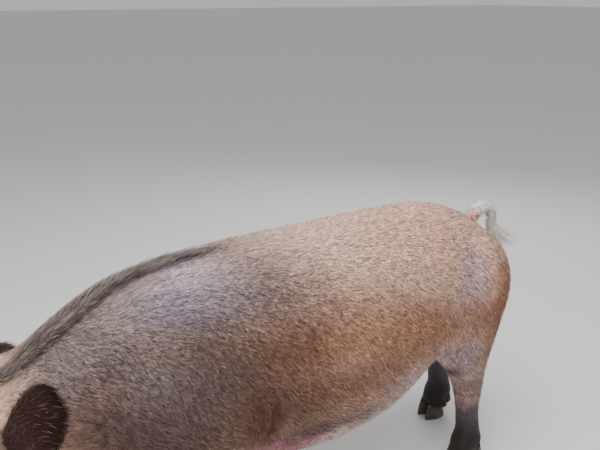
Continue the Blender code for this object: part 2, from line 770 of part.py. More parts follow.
def mane(body, chance):
    """Locks in staggered rows down the crest, from between the ears to behind the shoulder."""
    surface = surface_of(body)
    locks = []
    for row in range(MANE_ROWS):
        offset = MANE_ROW_SPACING * (row - (MANE_ROWS - 1) / 2)
        for i in range(MANE_ROW_LOCKS):
            part = (i + row / MANE_ROWS) / MANE_ROW_LOCKS
            x = MANE_START_X + (MANE_END_X - MANE_START_X) * part
            sway = offset + chance.uniform(-0.003, 0.003)
            here = turned(Vector((x, sway, 0.6)))
            next_on = turned(Vector((x + 0.02, sway, 0.6)))
            root, normal, _, _ = surface.ray_cast(Vector((here.x, here.y, 1.2)), Vector((0, 0, -1)))
            after, _, _, _ = surface.ray_cast(Vector((next_on.x, next_on.y, 1.2)), Vector((0, 0, -1)))
            back = (after - root).normalized()
            full = math.sin(math.pi * (0.20 + 0.72 * part)) ** 0.7
            length = MANE_LENGTH * full * chance.uniform(0.85, 1.12)
            lift = math.radians(22 - 11 * part + chance.uniform(-3, 3))
            lean = Vector((0, 6.0 * offset + chance.uniform(-0.08, 0.08), 0))
            ahead = (back * math.cos(lift) + normal * math.sin(lift) + lean).normalized()
            rise = (normal - ahead * normal.dot(ahead)).normalized()
            roll = math.radians(chance.uniform(15, 50)) * (1 if (i + row) % 2 else -1)
            bm = bmesh.new()
            add_lock(bm, root, ahead, rise, length, LOCK_HALF_WIDTH, roll, -0.08)
            locks.append(mesh_object("lock", bm))
    return locks


def switch(chance):
    """The tail's hair: locks round the end of the tail that fan out behind it."""
    path = tail_path()
    locks = []
    for i in range(SWITCH_LOCKS):
        place = 0.56 + 0.42 * i / (SWITCH_LOCKS - 1)
        step = place * (len(path) - 1)
        at = min(int(step), len(path) - 2)
        down = (path[at + 1] - path[at]).normalized()
        middle = path[at].lerp(path[at + 1], step - at)
        swing = i * GOLDEN_ANGLE
        across = down.cross(Vector((0, 1, 0))).normalized()
        outward = across * math.cos(swing) + Vector((0, 1, 0)) * math.sin(swing)
        ahead = (down * 0.75 + outward * 0.45 + Vector((0.42, 0.05, 0.0))).normalized()
        rise = (outward - ahead * outward.dot(ahead)).normalized()
        length = SWITCH_LENGTH * chance.uniform(0.75, 1.05)
        bm = bmesh.new()
        add_lock(bm, middle + outward * TAIL_RADIUS * 0.35, ahead, rise, length, 0.0055, 0.0, 0.06)
        locks.append(mesh_object("lock", bm))
    return locks


COLOURS = {
    "torso": (0.62, 0.42, 0.28),
    "neck": (0.52, 0.38, 0.28),
    "head": (0.56, 0.38, 0.30),
    "ear": (0.38, 0.24, 0.22),
    "eye": (0.05, 0.03, 0.02),
    "tail": (0.70, 0.60, 0.50),
    "leg": (0.42, 0.31, 0.25),
    "claw": (0.10, 0.09, 0.09),
}


def give_material(obj):
    """Each node has its own material, in the colour of its kind."""
    kind = next(word for word in COLOURS if word in obj.name)
    material = bpy.data.materials.new(obj.name)
    material.use_nodes = True
    shader = material.node_tree.nodes["Principled BSDF"]
    shader.inputs["Base Color"].default_value = (*COLOURS[kind], 1.0)
    shader.inputs["Roughness"].default_value = 0.15 if kind == "eye" else 0.65
    obj.data.materials.clear()
    obj.data.materials.append(material)


def cut_face(body, eyes):
    """Lids, eye sockets, mouth and nostrils."""
    lids = []
    for name, (middle, outward) in eyes.items():
        across = head_direction(1, 0, 0)
        upright = across.cross(outward).normalized()
        if upright.dot(head_direction(0, 0, 1)) < 0:
            upright.negate()
        lids.append(lid("upper_lid_" + name, middle, outward, upright, 24, 78))
        lids.append(lid("lower_lid_" + name, middle, outward, -upright, 30, 78))
    unite(body, lids)
    for middle, _ in eyes.values():
        bm = bmesh.new()
        add_ball(bm, middle, (EYE_RADIUS + JOINT_GAP,) * 3, segments=20)
        socket = mesh_object("socket", bm)
        boolean(body, socket, "DIFFERENCE")
        remove(socket)
    for cutter in (mouth_cutter(body), *nostril_cutters()):
        boolean(body, cutter, "DIFFERENCE")
        remove(cutter)
    keep_largest(body)


def centre_on_origin(nodes):
    """Moves the whole boar so that the middle of its length and width is over the origin."""
    points = np.concatenate([coordinates(node) for node in nodes])
    middle = (points.min(0) + points.max(0)) / 2
    middle[2] = 0
    for node in nodes:
        set_coordinates(node, coordinates(node) - middle)


def main():
    for obj in list(bpy.data.objects):
        bpy.data.objects.remove(obj)
    body = flesh()
    for region, triangles in ((False, BODY_TRIANGLES), (True, HEAD_TRIANGLES)):
        triangle_count(body)
        reduce_region(body, in_head(coordinates(body)) == region, triangles)
    eyes = eye_places(body)
    cut_face(body, eyes)
    chance = random.Random(7)
    unite(body, mane(body, chance))
    keep_largest(body)

    head_middle = on_head(-0.020, 0, -0.02)
    face = head_direction(1, 0, 0)
    head = part_off(body, "head", lambda grown: box_cutter(head_middle, face, 0.60, (0.60, 0.80), grown))
    nape = Vector((-1, 0, -0.20))
    neck = part_off(body, "neck", lambda grown: box_cutter(NECK_ROOT, nape, 0.60, (0.80, 1.20), grown))
    pieces = [head, neck]
    for name, side in SIDES.items():
        fore = fore_leg(side, FORE_SHIFT[name])
        hind = hind_leg(side, HIND_SHIFT[name])
        for kind, joints, lean, span in (("fore", fore, 0.0, 0.22), ("hind", hind, 0.0, 0.26)):
            top = joints[4]
            bottom = joints[-1]
            middle = Vector(((top.x + bottom.x) / 2 + lean, side * 0.180, top.z + 0.010))
            reach = (span + abs(top.x - bottom.x), 0.22)
            leg = part_off(body, f"{kind}_leg_{name}", lambda grown: leg_cutter(middle, 0.45, reach, grown))
            foot = Vector((bottom.x, bottom.y, 0))
            point, down = coronet_plane(foot)
            sole = box_cutter(point - down * HALF_GAP, down, 0.2, (0.3, 0.3))
            boolean(leg, sole, "DIFFERENCE")
            remove(sole)
            keep_largest(leg)
            pieces.append(leg)
            for place, inner in (("inner", -side), ("outer", side)):
                pieces.append(claw(f"{kind}_claw_{name}_{place}", foot, inner))
                small = dewclaw(f"{kind}_dewclaw_{name}_{place}", foot, inner)
                clear_of(small, leg)
                pieces.append(small)
    for name, side in SIDES.items():
        shell = ear("ear_" + name, side)
        clear_of(shell, head)
        clear_of(shell, neck)
        pieces.append(shell)
        bm = bmesh.new()
        add_ball(bm, eyes[name][0], (EYE_RADIUS,) * 3, segments=12)
        pieces.append(mesh_object("eye_" + name, bm))
    brush = tail()
    unite(brush, switch(chance))
    keep_largest(brush)
    clear_of(brush, body)
    pieces.append(brush)
    body.name = "torso"
    centre_on_origin([body, *pieces])
    for piece in (body, *pieces):
        give_material(piece)
        piece.data.shade_smooth()


main()
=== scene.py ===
"""The looks of a domestic boar standing with its head lowered.

They are skin, coat, mane, eyes, claws, floor and light. Every shape is worked out in the boar's own frame, in
metres: it faces -X, its left side is -Y and its feet stand on z = 0. At the end each piece moves by the same
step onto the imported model.
"""

import math
from typing import NamedTuple

import bmesh
import bpy
import numpy as np
from mathutils import Matrix, Vector
from mathutils.bvhtree import BVHTree


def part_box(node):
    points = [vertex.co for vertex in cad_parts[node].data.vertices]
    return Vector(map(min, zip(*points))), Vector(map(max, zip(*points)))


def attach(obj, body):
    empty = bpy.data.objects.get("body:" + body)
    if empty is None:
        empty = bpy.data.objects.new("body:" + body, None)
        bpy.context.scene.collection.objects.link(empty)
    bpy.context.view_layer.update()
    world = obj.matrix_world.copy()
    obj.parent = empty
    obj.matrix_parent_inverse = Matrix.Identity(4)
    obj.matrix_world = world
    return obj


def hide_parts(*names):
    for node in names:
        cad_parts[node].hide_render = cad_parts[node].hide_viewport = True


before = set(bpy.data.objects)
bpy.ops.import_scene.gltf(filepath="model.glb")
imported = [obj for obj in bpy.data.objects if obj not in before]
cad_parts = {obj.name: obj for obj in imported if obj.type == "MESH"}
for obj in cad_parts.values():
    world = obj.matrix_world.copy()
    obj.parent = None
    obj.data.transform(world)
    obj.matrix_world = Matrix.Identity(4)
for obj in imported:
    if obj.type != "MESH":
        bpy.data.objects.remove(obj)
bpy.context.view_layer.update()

# Driving dimensions
BACK_HEIGHT = 0.842          # top of the loin above the floor
TRUNK_LENGTH = 1.25          # front of the shoulder to the back of the ham
TRUNK_BACK = 0.600           # the back of the ham
BELLY_HEIGHT = 0.205         # lowest point of the belly above the floor
BODY_HALF_WIDTH = 0.240
HEAD_LENGTH = 0.400          # back of the skull to the snout disc
HEAD_PITCH = math.radians(50)   # how far the face points below the horizon
HEAD_TURN = math.radians(7)     # the head looks a little to the boar's left
EAR_HALF_WIDTH = 0.085
EAR_THICKNESS = 0.0046
TAIL_RADIUS = 0.019
EYE_RADIUS = 0.0155
CORONET_HEIGHT = 0.046
CORONET_SLOPE = 0.28         # rise of the coronet towards the toe
FRINGE_HEIGHT = CORONET_HEIGHT + 0.022   # below this the hair stands thick over the claws
SOLE_BOX = (0.30, 0.24, 0.30)   # the box that cuts a leg off at its coronet
MANE_START_X = -0.885        # along the straight body
MANE_END_X = -0.270
MANE_LENGTH = 0.064
MANE_HAIRS = 6000
CLUMPS = 110000
CLUMP_TUFTS = 3
TUFT_LENGTH = 0.0190
TUFT_WIDTH = 0.00118
PALE_SHARE = 0.30            # of the clumps, the palest
DARK_SHARE = 0.16            # and the darkest
PALE_GAIN = 1.42             # how much brighter the palest are
DARK_GAIN = 0.50
LIE_SPREAD = 0.17            # how far clumps turn from the coat's lie
COAT_LIFT = (7, 17)          # degrees that tufts stand off the skin
PIECE_TUFTS = 48000          # keeps each piece of coat under 200,000 triangles
BRISTLES = 3400
LASHES = 34                  # on each lid
SWITCH_LENGTH = 0.100
SWITCH_HAIRS = 1500
HAIR_BOW = 0.10              # how much a long hair bends back, as a share of its length
LASH_BOW = 0.22

# Eyes and lids, with along, across and up in the skull frame
EYE_PLACE = np.array((0.125, 0.108, 0.040))
EYE_SLIT = 0.0140            # half the length of the opening between the lids
UPPER_LID = 0.0066           # how far each lid's edge bows from the line between the corners
LOWER_LID = 0.0050
LID_THICKNESS = 0.0038
LID_BLEND = 0.0042           # width of the soft join between lid and face
SLIT_DEPTH = 0.0150          # how far the skin sinks between the lids

# Creases beyond the lids: side, bow of the lid, rise beyond it, half length, depth and width
LID_CREASES = (
    (1, UPPER_LID, 0.0052, 0.019, 0.0012, 0.0013),
    (1, UPPER_LID, 0.0092, 0.024, 0.0009, 0.0017),
    (-1, LOWER_LID, 0.0046, 0.018, 0.0010, 0.0013),
    (-1, LOWER_LID, 0.0086, 0.024, 0.0010, 0.0018),
)

NOSTRIL_ACROSS = 0.0205
NOSTRIL_UP = 0.008
NOSTRIL_DEPTH = 0.020
NOSTRIL_RIM = 0.0016
MOUTH_DEPTH = 0.0055
LIP_RISE = 0.0018

# Depth of the coat over the skin
BODY_COAT = 0.0065
FACE_COAT = 0.0025
LEG_COAT = 0.0030

FOLD_STRENGTH = 2.6          # the face's creases are pressed this many times their stated depth

# Mesh fineness
VOXEL = 0.0105
BODY_SIDES = 48
LIMB_SIDES = 32
SOFTENING_ROUNDS = 17

# Skull frame: the head's own axes, with its origin inside the skull between the ears
SKULL = Vector((-0.800, 0.0, 0.578))
FORWARD = Vector((-math.cos(HEAD_PITCH), 0.0, -math.sin(HEAD_PITCH)))
CROWN = Vector((-math.sin(HEAD_PITCH), 0.0, math.cos(HEAD_PITCH)))
LEFT = Vector((0.0, -1.0, 0.0))
NECK_HINGE_X = -0.580        # the head turns about an upright line here
NECK_BEND_START = -0.450
NECK_BEND_LENGTH = 0.250

SIDES = {"left": -1, "right": 1}
FORE_SHIFT = {"left": 0.0, "right": 0.060}   # each foot stands this far behind the foremost one
HIND_SHIFT = {"left": 0.0, "right": 0.121}

# The photograph's camera in the boar's frame
CAMERA_PLACE = Vector((-1.0134, -1.601, 1.429))
CAMERA_HEADING = math.radians(-30.67)
CAMERA_PITCH = math.radians(17.565)
CAMERA_LENS = 44.316

# Where the foremost claw stands in the boar's frame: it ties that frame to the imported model
FORE_CLAW_MIDDLE = Vector((-0.4226, -0.1665, 0.0))

chance = np.random.default_rng(11)


class Station(NamedTuple):
    """One cross-section of the body: its top and bottom point in the middle plane, and its half width."""

    top_x: float
    top_z: float
    low_x: float
    low_z: float
    half_width: float


class Joint(NamedTuple):
    """One cross-section of a leg: its middle, and how far it reaches fore and aft and to each side."""

    x: float
    y: float
    z: float
    fore: float
    side: float


class Muzzle(NamedTuple):
    """One cross-section of the head, measured along the skull frame."""

    along: float
    up: float
    down: float
    half_width: float


def trunk_and_neck():
    """Cross-sections from the back of the ham to the nape."""
    back = TRUNK_BACK
    front = TRUNK_BACK - TRUNK_LENGTH
    top = BACK_HEIGHT
    low = BELLY_HEIGHT
    wide = BODY_HALF_WIDTH
    return [
        Station(back - 0.000, top - 0.200, back + 0.004, top - 0.280, 0.22 * wide),
        Station(back - 0.018, top - 0.135, back - 0.006, top - 0.365, 0.52 * wide),
        Station(back - 0.058, top - 0.080, back - 0.052, top - 0.420, 0.70 * wide),
        Station(back - 0.135, top - 0.028, back - 0.145, low + 0.225, 0.82 * wide),
        Station(back - 0.240, top - 0.001, back - 0.262, low + 0.190, 0.88 * wide),
        Station(back - 0.385, top + 0.004, back - 0.400, low + 0.062, 0.94 * wide),
        Station(back - 0.570, top - 0.002, back - 0.570, low + 0.006, 0.99 * wide),
        Station(back - 0.750, top - 0.008, back - 0.750, low + 0.006, wide),
        Station(back - 0.900, top - 0.016, back - 0.900, low + 0.042, 0.96 * wide),
        Station(front + 0.210, top - 0.028, front + 0.210, low + 0.086, 0.90 * wide),
        Station(front + 0.085, top - 0.056, front + 0.105, low + 0.118, 0.83 * wide),
        Station(front - 0.020, top - 0.104, front + 0.035, low + 0.150, 0.76 * wide),
        Station(front - 0.115, top - 0.160, front - 0.015, low + 0.182, 0.70 * wide),
        Station(front - 0.182, top - 0.204, front - 0.055, low + 0.204, 0.64 * wide),
    ]


def skull_sections():
    """Cross-sections of the upper head from the poll to the snout disc."""
    long = HEAD_LENGTH
    return [
        Muzzle(0.050 * long, 0.094, 0.120, 0.128),
        Muzzle(0.200 * long, 0.103, 0.120, 0.124),
        Muzzle(0.350 * long, 0.084, 0.106, 0.108),
        Muzzle(0.475 * long, 0.063, 0.090, 0.080),
        Muzzle(0.600 * long, 0.054, 0.074, 0.065),
        Muzzle(0.725 * long, 0.050, 0.060, 0.059),
        Muzzle(0.850 * long, 0.050, 0.050, 0.055),
        Muzzle(0.930 * long, 0.052, 0.045, 0.053),
        Muzzle(0.965 * long, 0.062, 0.050, 0.063),
        Muzzle(1.000 * long, 0.060, 0.048, 0.061),
    ]


def jaw_sections():
    """Cross-sections of the lower jaw, jowl first, chin last."""
    long = HEAD_LENGTH
    return [
        Muzzle(-0.090 * long, 0.020, 0.162, 0.126),
        Muzzle(0.130 * long, 0.010, 0.180, 0.132),
        Muzzle(0.320 * long, 0.000, 0.164, 0.114),
        Muzzle(0.475 * long, -0.012, 0.138, 0.088),
        Muzzle(0.620 * long, -0.022, 0.115, 0.069),
        Muzzle(0.750 * long, -0.030, 0.099, 0.057),
        Muzzle(0.840 * long, -0.036, 0.088, 0.048),
        Muzzle(0.890 * long, -0.046, 0.076, 0.031),
    ]


def fore_leg(side, shift):
    """Cross-sections of a fore leg from the shoulder blade to below the coronet."""
    return [
        Joint(-0.395, side * 0.070, 0.720, 0.070, 0.060),
        Joint(-0.420, side * 0.098, 0.640, 0.120, 0.088),
        Joint(-0.440, side * 0.114, 0.550, 0.148, 0.094),
        Joint(-0.425 + 0.2 * shift, side * 0.130, 0.455, 0.136, 0.086),
        Joint(-0.402 + 0.5 * shift, side * 0.140, 0.375, 0.100, 0.072),
        Joint(-0.392 + 0.7 * shift, side * 0.145, 0.305, 0.070, 0.059),
        Joint(-0.394 + 0.9 * shift, side * 0.146, 0.245, 0.054, 0.050),
        Joint(-0.400 + shift, side * 0.146, 0.205, 0.055, 0.052),
        Joint(-0.393 + shift, side * 0.146, 0.160, 0.043, 0.043),
        Joint(-0.390 + shift, side * 0.146, 0.125, 0.042, 0.043),
        Joint(-0.393 + shift, side * 0.146, 0.095, 0.052, 0.049),
        Joint(-0.403 + shift, side * 0.146, 0.068, 0.047, 0.046),
        Joint(-0.411 + shift, side * 0.146, 0.040, 0.047, 0.046),
        Joint(-0.414 + shift, side * 0.146, 0.000, 0.047, 0.046),
        Joint(-0.416 + shift, side * 0.146, -0.040, 0.047, 0.046),
    ]


def hind_leg(side, shift):
    """Cross-sections of a hind leg from the hip to below the coronet."""
    return [
        Joint(0.430, side * 0.070, 0.720, 0.110, 0.075),
        Joint(0.422, side * 0.100, 0.640, 0.160, 0.096),
        Joint(0.418, side * 0.112, 0.550, 0.168, 0.098),
        Joint(0.414, side * 0.120, 0.465, 0.142, 0.089),
        Joint(0.423 + 0.2 * shift, side * 0.130, 0.395, 0.102, 0.073),
        Joint(0.434 + 0.4 * shift, side * 0.136, 0.340, 0.073, 0.058),
        Joint(0.445 + 0.7 * shift, side * 0.138, 0.292, 0.055, 0.048),
        Joint(0.450 + 0.9 * shift, side * 0.138, 0.250, 0.045, 0.043),
        Joint(0.453 + shift, side * 0.138, 0.205, 0.038, 0.038),
        Joint(0.458 + shift, side * 0.138, 0.160, 0.038, 0.038),
        Joint(0.462 + shift, side * 0.138, 0.125, 0.040, 0.040),
        Joint(0.460 + shift, side * 0.138, 0.095, 0.049, 0.047),
        Joint(0.452 + shift, side * 0.138, 0.068, 0.046, 0.045),
        Joint(0.445 + shift, side * 0.138, 0.040, 0.047, 0.046),
        Joint(0.442 + shift, side * 0.138, 0.000, 0.047, 0.046),
        Joint(0.440 + shift, side * 0.138, -0.040, 0.047, 0.046),
    ]


def legs_of(name):
    """The cross-sections of the fore leg and the hind leg of one side."""
    side = SIDES[name]
    return fore_leg(side, FORE_SHIFT[name]), hind_leg(side, HIND_SHIFT[name])


def spline(values, per_gap):
    """Rows of numbers read between the given ones along a Catmull-Rom curve."""
    rows = np.array(values, float)
    ends = np.vstack([2 * rows[0] - rows[1], rows, 2 * rows[-1] - rows[-2]])
    made = []
    for i in range(len(rows) - 1):
        a, b, c, d = ends[i : i + 4]
        for step in range(per_gap):
            t = step / per_gap
            square = (2 * a - 5 * b + 4 * c - d) * t**2
            cube = (3 * b - a - 3 * c + d) * t**3
            made.append(0.5 * (2 * b + (c - a) * t + square + cube))
    made.append(rows[-1])
    return made


def blend(t, start, end):
    """A smooth step from 0 before start to 1 after end."""
    part = np.clip((t - start) / (end - start), 0, 1)
    return part * part * (3 - 2 * part)


def between(t, rise_start, rise_end, fall_start, fall_end):
    """A smooth step up from 0 to 1 and, further on, down to 0 again."""
    return blend(t, rise_start, rise_end) * (1 - blend(t, fall_start, fall_end))


def bell(away, width):
    """1 at no distance, falling smoothly to almost nothing at twice the width."""
    return np.exp(-((away / width) ** 2))


def mixed(one, other, share):
    """One value moved towards another by a share from 0 to 1."""
    return one * (1 - share) + other * share


def ring(middle, across, upright, half_width, up, down, sides, squareness=2.2):
    """Points round a rounded cross-section."""
    points = []
    for i in range(sides):
        angle = 2 * math.pi * i / sides
        c = math.cos(angle)
        s = math.sin(angle)
        wide = math.copysign(abs(c) ** (2 / squareness), c) * half_width
        tall = math.copysign(abs(s) ** (2 / squareness), s) * (up if s > 0 else down)
        points.append(middle + across * wide + upright * tall)
    return points


def add_loft(bm, rings):
    """Skins a row of rings and closes both ends."""
    loops = [[bm.verts.new(p) for p in points] for points in rings]
    sides = len(loops[0])
    for near, far in zip(loops, loops[1:]):
        for i in range(sides):
            j = (i + 1) % sides
            bm.faces.new((near[i], near[j], far[j], far[i]))
    bm.faces.new(reversed(loops[0]))
    bm.faces.new(loops[-1])


def add_sheet(bm, outer, inner):
    """Closes two grids of points that lie one over the other into a thin solid."""
    rows = len(outer)
    columns = len(outer[0])
    grids = [[[bm.verts.new(p) for p in row] for row in grid] for grid in (outer, inner)]
    for grid in grids:
        for i in range(rows - 1):
            for j in range(columns - 1):
                bm.faces.new((grid[i][j], grid[i][j + 1], grid[i + 1][j + 1], grid[i + 1][j]))
    rim = [(0, j) for j in range(columns)]
    rim += [(i, columns - 1) for i in range(1, rows)]
    rim += [(rows - 1, j) for j in range(columns - 2, -1, -1)]
    rim += [(i, 0) for i in range(rows - 2, 0, -1)]
    for (i, j), (k, m) in zip(rim, rim[1:] + rim[:1]):
        bm.faces.new((grids[0][i][j], grids[1][i][j], grids[1][k][m], grids[0][k][m]))


def add_ball(bm, middle, radii, segments=20):
    """A stretched ball, for a muscle or a pad of fat."""
    matrix = Matrix.Translation(middle) @ Matrix.Diagonal((*radii, 1.0))
    bmesh.ops.create_uvsphere(bm, u_segments=segments, v_segments=segments // 2, radius=1.0, matrix=matrix)


def skull_point(along, across, up):
    """A point given in the skull frame of the straight body; across is to the boar's left."""
    return SKULL + FORWARD * along + LEFT * across + CROWN * up


def neck_turn(x):
    """How far the body is turned to its left at each place along it."""
    return HEAD_TURN * blend(NECK_BEND_START - x, 0, NECK_BEND_LENGTH)


def turned(point):
    """Where a point of the straight body goes when the neck bends to the boar's left."""
    pivot = Vector((NECK_HINGE_X, 0, point.z))
    return pivot + Matrix.Rotation(neck_turn(point.x), 3, "Z") @ (point - pivot)


def on_head(along, across, up):
    """A point given in the skull frame of the turned head."""
    return turned(skull_point(along, across, up))


def head_direction(along, across, up):
    """A direction given in the skull frame of the turned head."""
    return (Matrix.Rotation(HEAD_TURN, 3, "Z") @ (FORWARD * along + LEFT * across + CROWN * up)).normalized()


def new_object(name, data):
    """A new object in the scene."""
    obj = bpy.data.objects.new(name, data)
    bpy.context.scene.collection.objects.link(obj)
    return obj


def mesh_object(name, bm):
    """A new object from a bmesh, with its faces pointing out."""
    bmesh.ops.recalc_face_normals(bm, faces=bm.faces)
    mesh = bpy.data.meshes.new(name)
    bm.to_mesh(mesh)
    bm.free()
    return new_object(name, mesh)


def apply_modifiers(obj):
    """Makes the evaluated mesh the object's own."""
    graph = bpy.context.evaluated_depsgraph_get()
    mesh = bpy.data.meshes.new_from_object(obj.evaluated_get(graph))
    obj.modifiers.clear()
    obj.data = mesh


def remove(*objects):
    for obj in objects:
        bpy.data.objects.remove(obj)


def read_rows(items, name, width, kind=np.float32):
    """One row of numbers for each item of a mesh."""
    values = np.empty(len(items) * width, kind)
    items.foreach_get(name, values)
    return values.reshape(-1, width)


def coordinates(obj):
    return read_rows(obj.data.vertices, "co", 3).astype(float)


def normals_of(obj):
    return read_rows(obj.data.vertices, "normal", 3).astype(float)


def set_coordinates(obj, points):
    obj.data.vertices.foreach_set("co", points.astype(np.float32).ravel())
    obj.data.update()


def surface_of(obj):
    """The object's surface, for finding points on it."""
    return BVHTree.FromPolygons([v.co for v in obj.data.vertices], [p.vertices for p in obj.data.polygons])


def upright_ring(station):
    """A cross-section of the body, leaning as the line from its bottom to its top does."""
    top = Vector((station.top_x, 0, station.top_z))
    low = Vector((station.low_x, 0, station.low_z))
    upright = (top - low).normalized()
    tall = (top - low).length
    middle = low + upright * 0.48 * tall
    return ring(middle, LEFT, upright, station.half_width, 0.52 * tall, 0.48 * tall, BODY_SIDES)


def muzzle_ring(section):
    """A cross-section of the head in the skull frame."""
    middle_up = (section.up - section.down) / 2
    half = (section.up + section.down) / 2
    middle = skull_point(section.along, 0, middle_up)
    return ring(middle, LEFT, CROWN, section.half_width, half, half, BODY_SIDES, 2.6)


def leg_ring(joint):
    """A level cross-section of a leg."""
    middle = Vector((joint.x, joint.y, joint.z))
    return ring(middle, Vector((0, 1, 0)), Vector((1, 0, 0)), joint.side, joint.fore, joint.fore, LIMB_SIDES)


def add_muscles(bm, side, hind_shift):
    """The masses that break the plain outline, from the face and the throat to the ham and the hock."""
    add_ball(bm, skull_point(0.058, -side * 0.094, -0.084), (0.085, 0.050, 0.074))
    add_ball(bm, skull_point(0.100, -side * 0.074, 0.058), (0.050, 0.036, 0.028))
    add_ball(bm, skull_point(0.128, -side * 0.092, -0.010), (0.052, 0.026, 0.022))
    add_ball(bm, skull_point(0.285, -side * 0.042, -0.022), (0.052, 0.026, 0.030))
    add_ball(bm, skull_point(0.020, -side * 0.062, -0.132), (0.090, 0.062, 0.062))
    add_ball(bm, (-0.690, side * 0.048, 0.452), (0.110, 0.085, 0.082))
    add_ball(bm, skull_point(-0.008, -side * 0.084, 0.030), (0.050, 0.042, 0.046))
    add_ball(bm, (-0.440, side * 0.118, 0.575), (0.125, 0.100, 0.165))
    add_ball(bm, (-0.345, side * 0.160, 0.440), (0.060, 0.044, 0.070))
    add_ball(bm, (-0.540, side * 0.090, 0.500), (0.090, 0.080, 0.105))
    add_ball(bm, (0.262, side * 0.135, 0.500), (0.125, 0.060, 0.096))
    add_ball(bm, (0.450, side * 0.118, 0.600), (0.142, 0.102, 0.180))
    add_ball(bm, (0.480 + 0.6 * hind_shift, side * 0.138, 0.318), (0.022, 0.026, 0.046))
    add_ball(bm, (0.566, side * 0.034, 0.485), (0.052, 0.036, 0.068))


def add_body(bm):
    """The trunk, neck, head, legs and muscles as overlapping closed shapes."""
    stations = list(trunk_and_neck())
    first = skull_sections()[0]
    top = skull_point(first.along, 0, first.up)
    low = skull_point(first.along, 0, -first.down)
    stations.append(Station(top.x, top.z, low.x, low.z, first.half_width))
    add_loft(bm, [upright_ring(Station(*row)) for row in spline(stations, 3)])
    for sections in (skull_sections(), jaw_sections()):
        add_loft(bm, [muzzle_ring(Muzzle(*row)) for row in spline(sections, 3)])
    add_ball(bm, (0.060, 0, BELLY_HEIGHT + 0.008), (0.075, 0.030, 0.026))
    for name, side in SIDES.items():
        for joints in legs_of(name):
            add_loft(bm, [leg_ring(Joint(*row)) for row in spline(joints, 3)])
        add_muscles(bm, side, HIND_SHIFT[name])


def softness(points):
    """How much each point is softened: most on the trunk, least on the feet and the snout."""
    legs = blend(points[:, 2], 0.22, 0.42)
    along = (points - np.array(SKULL)) @ np.array(FORWARD)
    ahead = points[:, 0] < -0.70
    face = ahead * blend(along, -0.06, 0.08)
    snout = ahead * blend(along, 0.22, 0.36)
    return 0.025 + 0.475 * np.maximum(legs, ahead) * (1 - 0.86 * face) - 0.045 * snout


def ease(obj, pulls):
    """Moves each point towards the middle of its neighbours, once for each pull, by that share of the way."""
    near, far = read_rows(obj.data.edges, "vertices", 2, np.int32).T
    points = coordinates(obj)
    count = len(points)
    neighbours = np.maximum(np.bincount(near, minlength=count) + np.bincount(far, minlength=count), 1)
    for pull in pulls:
        for axis in range(3):
            values = points[:, axis]
            total = np.bincount(near, values[far], count) + np.bincount(far, values[near], count)
            points[:, axis] += (total / neighbours - values) * pull
    set_coordinates(obj, points)


def boolean(obj, other, operation):
    """Applies one Boolean and leaves the other object in place."""
    modifier = obj.modifiers.new(operation.lower(), "BOOLEAN")
    modifier.operation = operation
    modifier.solver = "MANIFOLD"
    modifier.object = other
    bpy.context.view_layer.update()
    apply_modifiers(obj)


# An ear's middle line from root to tip: along, across and up in the skull frame, share of the full width, and
# curl in degrees
EAR_LINE = (
    (-0.014, 0.074, 0.034, 0.62, 108),
    (-0.010, 0.110, 0.054, 0.84, 96),
    (0.008, 0.146, 0.062, 1.02, 72),
    (0.038, 0.176, 0.050, 0.98, 52),
    (0.070, 0.196, 0.014, 0.66, 38),
    (0.094, 0.206, -0.036, 0.06, 26),
)
EAR_COLUMNS = 29             # points across the ear


def ear(name, side):
    """A cupped ear that stands out from the head and falls forward at its tip."""
    rows = spline(EAR_LINE, 5)
    outer = []
    inner = []
    for i, (along, across, up, width, curl) in enumerate(rows):
        before = Vector(rows[max(i - 1, 0)][:3])
        after = Vector(rows[min(i + 1, len(rows) - 1)][:3])
        ahead = (after - before).normalized()
        back = Vector((0.05, 0.35, 0.92))
        broad = ahead.cross(back).normalized()
        back = broad.cross(ahead).normalized()
        half_angle = math.radians(curl)
        radius = EAR_HALF_WIDTH * width / half_angle
        thick = EAR_THICKNESS * (1 - 0.5 * i / (len(rows) - 1))
        outer.append([])
        inner.append([])
        for column in range(EAR_COLUMNS):
            part = 2 * column / (EAR_COLUMNS - 1) - 1
            angle = half_angle * part
            spoke = broad * math.sin(angle) + back * math.cos(angle)
            wall = thick / 2 * (1 - 0.45 * abs(part))
            hub = Vector((along, across, up)) - back * radius
            for grid, reach in ((outer, radius + wall), (inner, radius - wall)):
                place = hub + spoke * reach
                grid[-1].append(on_head(place.x, -side * place.y, place.z))
    bm = bmesh.new()
    add_sheet(bm, outer, inner)
    return mesh_object(name, bm)


def tail_path():
    """The middle line of the tail: up from the croup, over and down."""
    x = TRUNK_BACK
    line = [(x - 0.078, 0, 0.738), (x - 0.048, 0, 0.772), (x - 0.018, 0, 0.790), (x + 0.012, 0, 0.787)]
    line += [(x + 0.033, 0.004, 0.765), (x + 0.042, 0.008, 0.730), (x + 0.044, 0.010, 0.690)]
    return [Vector(row) for row in spline(line, 2)]


def tube(name, path, radii, sides, across=Vector((0, 1, 0))):
    """A tapered tube along a path; its last radius closes it to a blunt tip."""
    rings = []
    for i, (point, radius) in enumerate(zip(path, radii)):
        ahead = (path[min(i + 1, len(path) - 1)] - path[max(i - 1, 0)]).normalized()
        tall = ahead.cross(across).normalized()
        wide = tall.cross(ahead)
        rings.append(ring(point, wide, tall, radius, radius, radius, sides, 2.0))
    bm = bmesh.new()
    add_loft(bm, rings)
    return mesh_object(name, bm)


def turned_points(points):
    """Where points of the straight body go when the neck bends to the boar's left."""
    angle = neck_turn(points[:, 0])
    across = points[:, 0] - NECK_HINGE_X
    made = points.copy()
    made[:, 0] = NECK_HINGE_X + across * np.cos(angle) - points[:, 1] * np.sin(angle)
    made[:, 1] = across * np.sin(angle) + points[:, 1] * np.cos(angle)
    return made


